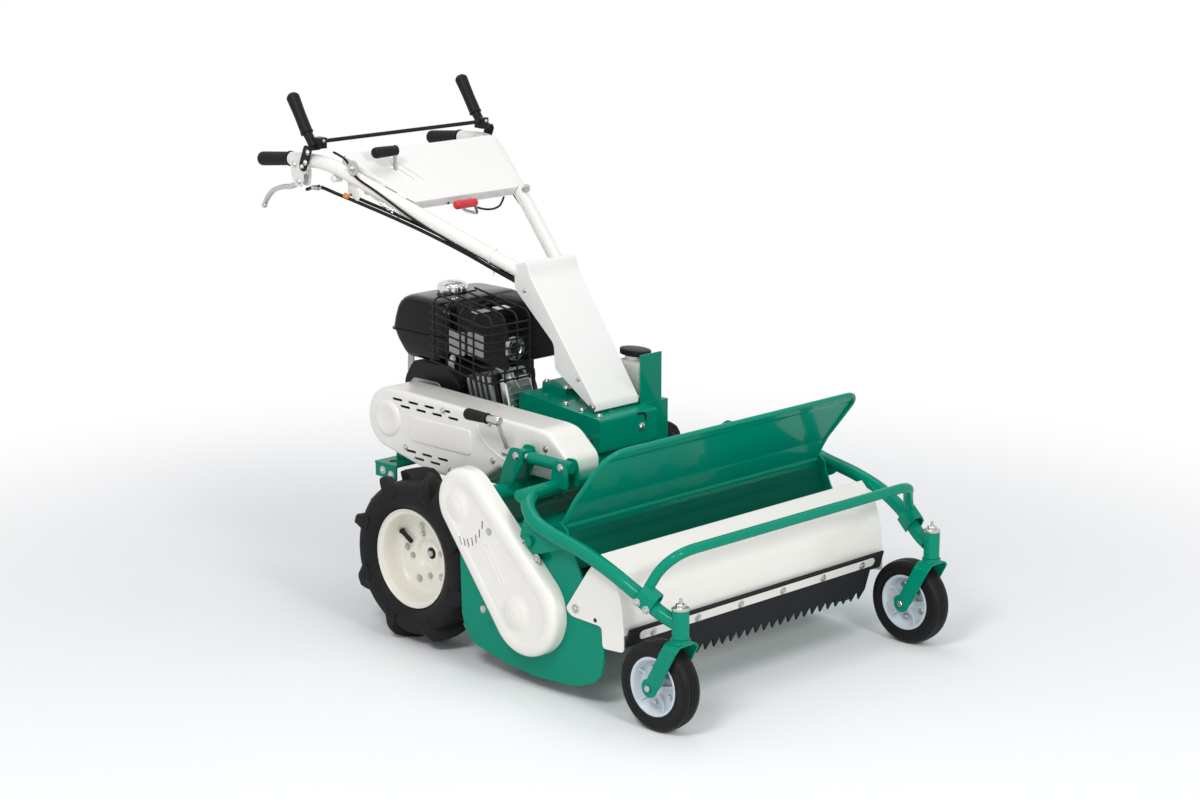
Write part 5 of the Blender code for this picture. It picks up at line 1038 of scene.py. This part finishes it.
def handleFrame():
    # the post, then on each side a bent tube with its lever bracket and pivots, and two cross rods
    h = handle
    post = roundCorners(world([(0, 660, 546.5), (0, 660, 562), (0, 700, 625), (0, 843, 822)]), 20, 6)
    shapes = [tube(post, 26, 28), slab(roundRect(58, 17, 4, 4), at(0, 843, 824), xAxis, yAxis, -20, 20)]
    bracket = roundCorners([(1385, 1074), (1427, 1074), (1427, 1040), (1412, 1010), (1390, 1008), (1385, 1030)], 8, 5,
                           closed=True)
    studs = []
    for side, _ in sides:
        stops = [(53, 838, 828), (150, 1046, 936), (262, 1296, 1066), (277, 1350, 1076), (277, 1438, 1072)]
        x = side * h["gripX"]
        shapes.append(tube(roundCorners(world(np.array(stops) * (side, 1, 1)), 50, 12), h["tube"], 32))
        shapes += [plate(bracket, x + low, x + low + 6.25) for low in (-15, 8.75)]
        shapes.append(block((29, 40, 33), at(x, 1406, 1056)))
        pivot = [(280, 0), (280, 9.5), (295.5, 9), (295.5, 5), (303.5, 4.8), (303.5, 0)]
        shapes.append(turned(pivot, at(0, *h["bailPivot"]), (side, 0, 0), 24))
        shapes.append(pin(-15, 15, 3, at(x, *h["leverPivot"]), steps=16))
        studs += hexBolt(at(x + side * 15, *h["leverPivot"]), (side, 0, 0), 5.8, 4.6, 8)
        studs += hexBolt(at(x + side * 15, 1412, 1062), (side, 0, 0), 5.2, 4, 7.2)
    shapes += [pin(-reach, reach, h["member"], at(0, *axis))
               for reach, axis in ((206, h["red"]), (228, h["speed"][1:]))]
    makePiece("handle_frame_tubes", shapes, "whiteEnamel", "chassis", "handle_frame", 1, limit=40)
    makePiece("handle_bolts", studs, "zincPlate")


def controlPanel():
    # the panel's own solid with soft edges, and the hole in its lower lip, a dark disc of painted shade
    softCopy("control_panel", "whiteAbs", 4.5, 4, limit=28)
    alongPanel = unit((0, 1286 - 1112, 1096 - 990))
    makePiece("panel_lip_hole", [pin(-1, 0.6, 3.2, at(-65, 1110.5, 975), -alongPanel, 16)], "shadowBlack")


def handGrips():
    # ribs round the grip, a flange at its root and a rounded end
    for side, label in sides:
        x = side * handle["gripX"]
        grip = gripShape(at(x, 1441.8, 1071.8), at(x, 1559.8, 1060), 64, 40, 15.8, 1, (0.93, 17.2, 6), (0.035, 18.8, 0),
                         (0.12, 0.9, 0.8))
        makePiece("hand_grip_ribbed_" + label, [grip], "blackRubber", "chassis", "hand_grip_" + label, crease=60)


def bail():
    shapes, grips, plated = [pin(-270, 270, 5, at(0, *handle["rod"]), steps=20)], [], []
    link = roundCorners([(1336, 1106), (1364, 1116), (1386, 1064), (1380, 1050), (1362, 1050)], 9, 6, closed=True)
    for side, _ in sides:
        x = side * 275.5
        foot, collar, tip = at(x, 1355, 1108), at(x, 1384, 1144), at(x - side, 1438, 1229)
        shapes.append(tube(np.stack([foot, foot * 0.5 + collar * 0.5, collar]), (12.5, 11.5, 12), 24))
        shapes.append(slab(roundRect(13, 15, 4, 4), at(side * 265, 1348, 1118), xAxis, yAxis, -13, 13))
        shapes.append(plate(link, *sorted((side * 296.2, side * 300.2))))
        shapes.append(block((34, 18, 10), at(side * 284, 1352, 1106.5)))
        # a smooth grip, waisted in the middle and swelling to a rounded end
        grips.append(gripShape(collar - (0, 3, 5), tip, 56, 36, 14.8, 1.8, (0.9, 16.4, 7), (0.04, 16, 0), waist=0.9))
        plated += bolts([(side * 300.2, 1360, 1072), (side * 300.2, 1350, 1098)], (side, 0, 0), 4.8, 3.8, 7)
        plated += hexBolt(at(side * 265, 1333, 1124), (0, -1, 0), 4.6, 4)
    makePiece("bail_rod_and_links", shapes, "blackPowder", "travel_bail", "control_bail", 1)
    makePiece("bail_grips_ribbed", grips, "blackRubber", "travel_bail", crease=60)
    makePiece("bail_bolts", plated, "zincPlate", "travel_bail")


def handLevers():
    spine = splinePath([(1390, 1022), (1404, 1021), (1440, 1005), (1480, 998), (1516, 985), (1542, 961), (1552, 943)])
    s = np.linspace(0, 1, len(spine))[:, None]
    deep = np.interp(s, [0, 0.1, 0.3, 0.8, 1], [8.8, 9, 7, 5.6, 4.5])
    wide = np.interp(s, [0, 0.15, 0.35, 0.8, 1], [8, 8, 7, 7.2, 5])
    # a rounded section: half widths times cos and sin to the power 0.7
    ca, sa = (np.sign(wave) * np.abs(wave) ** 0.7 for wave in (np.cos(around(24)), np.sin(around(24))))
    flat = spine[:, None] + (deep * sa)[..., None] * squareTo(spine)[:, None]
    ball = np.radians(np.linspace(-90, 90, 9))
    for side, label in sides:
        x = side * handle["gripX"]
        lever = gridShape(world(np.concatenate([(x + wide * ca)[..., None], flat], -1)))
        end = turned(7.5 * np.stack([np.sin(ball), np.cos(ball)], 1), at(x, 1551.5, 945.5), (0, 0.5, -0.86), 20)
        makePiece("hand_lever_cast_" + label, [lever, end], "tumbledAluminium", "lever_" + label,
                  "hand_lever_" + label, crease=50)


def smallLevers():
    # the speed lever's flat arm and ribbed knob, and the red grip on its bent rod
    x, station, z = handle["speed"]
    arm = slab(roundRect(5.2, 46, 5, 5), at(x, station, 1057), yAxis, zAxis, -2.5, 2.5)
    boss = [(-8, 8.3), (-8, 12.5), (8, 12.5), (8, 8.3)]
    makePiece("speed_lever_arm", [arm, turned(boss, at(x, station, z), steps=28, ring=True)], "zincPlate",
              "speed_control", bevel=0.6)
    start = at(x + 3, station, 1099)
    knob = gripShape(start, start - (71, 0, 0), 40, 32, 11.8, 1.7, (0.92, 13, 5), (0.06, 13, 0), (0.15, 0.85, 0.7))
    makePiece("speed_knob_ribbed", [knob], "blackNylon", "speed_control", "speed_lever", crease=60)
    start = at(0, 1084, 973.5)
    grip = gripShape(start, start - (68, 0, 0), 30, 28, 10.4, 0.8, (0.9, 11.2, 4.5), (0.08, 9, 1.8))
    makePiece("red_grip", [grip], "redAbs", "height_latch", crease=50)
    arm = roundCorners(world([(-6, 1084, 973.5), (14, 1092, 943), (14, 1140, 945), (14, 1175, 972)]), 12, 8)
    boss = turned(np.add(boss, (14, 0)), at(0, *handle["red"]), steps=28, ring=True)
    makePiece("red_lever_arm", [tube(arm, 4), boss], "zincPlate", "height_latch", "red_lever", crease=45)


def cables():
    near = [(-277, 1386, 1002), (-272, 1345, 1012), (-262, 1290, 1000), (-240, 1238, 982), (-205, 1160, 953),
            (-168, 1075, 919), (-128, 985, 878), (-90, 900, 834), (-56, 838, 800)]
    makePiece("control_cable_round", [tube(splinePath(world(near)), 4.2, 14)], "blackRubber", "chassis",
              "control_cable", crease=60)
    top = [(-238, 1328, 1094), (-242, 1285, 1084), (-249, 1252, 1066.5), (-252.6, 1227.8, 1045),
           (-235.3, 1186.6, 1018.4), (-215.5, 1141.7, 987.3), (-193.4, 1099.8, 955.5), (-165.9, 1059, 926),
           (-146.3, 1017, 903), (-128.9, 977.1, 881), (-102.3, 916.5, 848), (-60, 842, 809)]
    far = np.array(near) * (-1, 1, 1) + (0, 0, 2)
    far[-1] = (52, 838, 784)
    short = [(13, 1116, 978), (20, 1105, 958), (60, 1102, 947), (100, 1108, 950), (125, 1118, 968)]
    second = np.array(near[2:]) + (10, 0, 6)
    second[0] = (-242, 1262, 1000)
    runs = ((second, 4, 14), (top, 3, 12), (far, 3.6, 12), (short, 2.6, 12))
    makePiece("more_cables", [tube(splinePath(world(run)), radius, steps) for run, radius, steps in runs],
              "blackRubber", crease=60)
    # thin plated adjusters where the cables leave the levers
    ends = []
    for side, _ in sides:
        start, end = at(side * 274.5, 1366, 1008.5), at(side * 270, 1335, 1011.5)
        ends.append(rodFrom(start, end, [(0, 0), (0, 6), (0.3, 6), (0.32, 4.8), (1, 4.8), (1, 0)], 16))
        ends.append(rodFrom(start, end, [(0.5, 0), (0.5, 7.8), (0.62, 7.8), (0.62, 0)], 6))
    makePiece("cable_adjusters", ends, "zincPlate")
    # one pale tie round the near tube and its cables: two circles and their tangents, square to the tube
    low, high = at(-53, 838, 828), at(-262, 1296, 1066)
    axis = unit(high - low)
    across = unit(np.cross(axis, zAxis))
    down = unit(np.cross(axis, across))
    spot = low + 0.19 * (high - low)
    ring = loopAround((0, 0), 18.2, (6, 24 * np.sign(-down[2])), 6)
    tail = np.stack([spot + across * 6 + (0, 0, -29), spot + across * 4 + (0, 0, -48)])
    ties = [tube(spot + ring[:, :1] * across + ring[:, 1:] * down, 1.6, 8, ring=True), tube(tail, 1.3, 8)]
    makePiece("cable_tie", ties, "whiteAbs")


def handleJoints():
    # toothed angle disc on a pear-shaped plate by the near tube: its edge radius is 18 + 0.9 cos 24a
    station, z = 1234.9, 1066.8
    disc = [(-253, 16.5), (-253.5, 18), (-259, 18), (-259.6, 16.5), (-260, 9.5), (-262.5, 9.2), (-263, 7)]
    teeth = 0.9 * np.outer([0, 1, 1, 0, 0, 0, 0], np.cos(24 * around(144)))
    shapes = [turned(disc, at(0, station, z), steps=144, wave=teeth),
              plate(loopAround((station, z), 13.5, (1252, 1043), 9), -253.5, -249.5)]
    shapes += bolts([(-262.5, station, z)], (-1, 0, 0), 5.8, 4.8)
    # the clamp at the far tube and the turnbuckles below the near one
    for place in (at(176, 1094, 985), at(186, 1106, 978)):
        shapes.append(pin(-10, 10, 6.2, place, (1, 0.4, 0), 20))
        shapes += hexBolt(place + (0, -6, 6), (0, -0.7, 0.7), 6.2, 5, 8.5)
    turnbuckle = [(0, 0), (0, 3.4), (0.25, 3.4), (0.25, 7.2), (0.4, 7.2), (0.4, 4.6), (0.72, 4.6), (0.72, 6.6),
                  (0.84, 6.6), (0.84, 3.4), (1, 3.4), (1, 0)]
    shapes += [rodFrom(at(-214, 1190, 985), at(-199, 1155, 967), turnbuckle, 6),
               rodFrom(at(-200, 1178, 968), at(-184, 1142, 950), turnbuckle, 6)]
    makePiece("handle_joint_hardware", shapes, "zincPlate", bevel=0.4, segments=1)
    plates = []
    for start, end, wide in ((at(-222, 1215, 1012), at(-205, 1160, 975), 11),
                             (at(-193, 1150, 975), at(-178, 1118, 952), 9)):
        u = unit(end - start)
        half = float(np.linalg.norm(end - start)) / 2
        plates.append(slab(roundRect(half, wide, 4, 5) + (half, 0), start, u, unit(np.cross(u, xAxis)), -1.5, 1.5))
    # the plate that hangs from the near tube and holds the second cable, and the round end above it
    hanger = roundCorners([(1276, 1050), (1252, 1038), (1226, 998), (1238, 984), (1270, 1000)], 6, 5, closed=True)
    plates.append(plate(hanger, -243.5, -240.5))
    plates.append(turned([(-268, 0), (-268, 7.5), (-266, 9), (-242, 9), (-240, 7.5), (-240, 0)], at(0, 1299, 1036),
                         steps=24))
    makePiece("cable_bracket_plates", plates, "whiteEnamel", bevel=0.5)
    marker = [(-7, 0), (-7, 5.5), (-5, 6.2), (5, 6.2), (7, 5.5), (7, 0)]
    makePiece("cable_marker", [turned(marker, at(-256, 1262, 997.5), (0.35, -0.85, -0.3), 24)], "orangeNylon")


handleFrame()
controlPanel()
handGrips()
bail()
handLevers()
smallLevers()
cables()
handleJoints()
print("handle")


# finishes of the CAD nodes that stay as they are

nodeFinish = {
    "turnedSteel": ("rotor", "lower_rotor_pulley", "upper_rotor_pulley", "cross_shaft", "input_pulley",
                    "engine_pulley"),
    "forgedSteel": ("knife_row_1", "knife_row_2", "knife_row_3"), "blackRubber": ("rotor_belt", "main_belt")}
for finish, names in nodeFinish.items():
    for name in names:
        nodes[name].data.materials.clear()
        nodes[name].data.materials.append(mat[finish])
print("inner parts")


# floor, light and camera

studio = {"floorHalf": 30000, "floorBelow": 0.5, "floorTints": ("#F5F5F5", "#F8F8F8"), "floorFade": (0.9, 2.6),
          "skyColour": (0.92, 0.95, 1.0, 1.0), "skyStrength": 0.52,
          # each lamp: place, the place that it faces, its two sides and its power in watts
          "lamps": {"key_light": ((-3.5, -1.5, 3.9), (0, 0, 0.4), (1.3, 1.3), 88),
                    "front_light": ((-1.2, -4.7, 2.8), (0, 0, 0.4), (1.2, 1.0), 84),
                    "top_light": ((0.6, 0.8, 4.4), (0, 0, 0.5), (1.7, 1.7), 26)},
          # azimuth, elevation, focal length and place were fitted to the photograph, 1200 pixels wide
          "azimuth": -45.159, "elevation": 13.145, "focalPixels": 2751.1, "framePixels": 1200, "sensor": 36.0,
          "cameraPlace": (-4.457, -4.532, 2.020)}


def seenRays(owner):
    # 1 for rays from the camera, off a mirror or through glass, and 0 for light
    path = addNode(owner, "ShaderNodeLightPath").outputs
    mirror = addNode(owner, "ShaderNodeMath", {"operation": "MAXIMUM"},
                     {0: path["Is Glossy Ray"], 1: path["Is Transmission Ray"]}).outputs[0]
    return addNode(owner, "ShaderNodeMath", {"operation": "MAXIMUM"}, {0: path["Is Camera Ray"], 1: mirror}).outputs[0]


def stageFloor():
    # a wide floor whose faint mottling keeps it from looking like paper
    material = bpy.data.materials.new("pale_floor")
    emptied(material)
    place = addNode(material, "ShaderNodeTexCoord").outputs["Object"]
    noise = addNode(material, "ShaderNodeTexNoise", {"Scale": 3.0, "Detail": 4.0}, {"Vector": place})
    low, high = (linear(colour) for colour in studio["floorTints"])
    tint = addNode(material, "ShaderNodeMix", {"data_type": "RGBA", 6: low, 7: high}, {0: noise.outputs[0]}).outputs[2]
    shader = addNode(material, "ShaderNodeBsdfPrincipled", {"Roughness": 0.9}, {"Base Color": tint})
    # away from the machine the floor turns into the white of the backdrop, for camera and mirror rays only
    reach = addNode(material, "ShaderNodeVectorMath", {"operation": "LENGTH"}, {0: place}).outputs["Value"]
    start, end = studio["floorFade"]
    fade = addNode(material, "ShaderNodeMapRange", {"interpolation_type": "SMOOTHSTEP", "From Min": start,
                                                    "From Max": end}, {"Value": reach}).outputs[0]
    share = addNode(material, "ShaderNodeMath", {"operation": "MULTIPLY"}, {0: fade, 1: seenRays(material)}).outputs[0]
    white = addNode(material, "ShaderNodeEmission", {"Strength": 1.0})
    mix = addNode(material, "ShaderNodeMixShader", {}, {0: share, 1: shader.outputs[0], 2: white.outputs[0]})
    addNode(material, "ShaderNodeOutputMaterial", {}, {"Surface": mix.outputs[0]})
    line = np.linspace(-studio["floorHalf"], studio["floorHalf"], 9)
    x, y = np.meshgrid(line, line, indexing="ij")
    grid = np.stack([x, y, np.full_like(x, -studio["floorBelow"])], -1)
    floor = addObject("floor", meshFrom("floor", [gridShape(grid, loop=False)]))
    floor.data.materials.append(material)
    if floor.data.polygons[0].normal.z < 0:
        floor.data.flip_normals()


def skyWorld():
    # white to the camera and to mirrors, a soft grey-white as light
    sky = bpy.data.worlds.new("studio")
    bpy.context.scene.world = sky
    emptied(sky)
    seen = seenRays(sky)
    light = addNode(sky, "ShaderNodeBackground", {"Color": studio["skyColour"], "Strength": studio["skyStrength"]})
    white = addNode(sky, "ShaderNodeBackground", {"Color": (1.0, 1.0, 1.0, 1.0), "Strength": 1.0})
    mix = addNode(sky, "ShaderNodeMixShader", {}, {0: seen, 1: light.outputs[0], 2: white.outputs[0]})
    addNode(sky, "ShaderNodeOutputWorld", {}, {"Surface": mix.outputs[0]})


def softBox(name, place, target, size, power):
    # a rectangular lamp that faces its target
    lamp = bpy.data.lights.new(name, "AREA")
    lamp.shape = "RECTANGLE"
    lamp.size, lamp.size_y, lamp.energy = size[0], size[1], power
    obj = addObject(name, lamp)
    obj.location = place
    obj.rotation_euler = (Vector(target) - Vector(place)).to_track_quat("-Z", "Y").to_euler()


def photoCamera():
    # it looks along -back, back = (sin az cos el, -cos az cos el, sin el)
    s = studio
    az, el = math.radians(s["azimuth"]), math.radians(s["elevation"])
    back = Vector((math.sin(az) * math.cos(el), -math.cos(az) * math.cos(el), math.sin(el)))
    camera = bpy.data.cameras.new("photo_camera")
    camera.sensor_width, camera.lens = s["sensor"], s["focalPixels"] / s["framePixels"] * s["sensor"]
    obj = addObject("photo_camera", camera)
    obj.location = s["cameraPlace"]
    obj.rotation_euler = back.to_track_quat("Z", "Y").to_euler()
    bpy.context.scene.camera = obj


stageFloor()
skyWorld()
for name, lamp in studio["lamps"].items():
    softBox(name, *lamp)
photoCamera()
bpy.context.scene.view_settings.view_transform = "Standard"
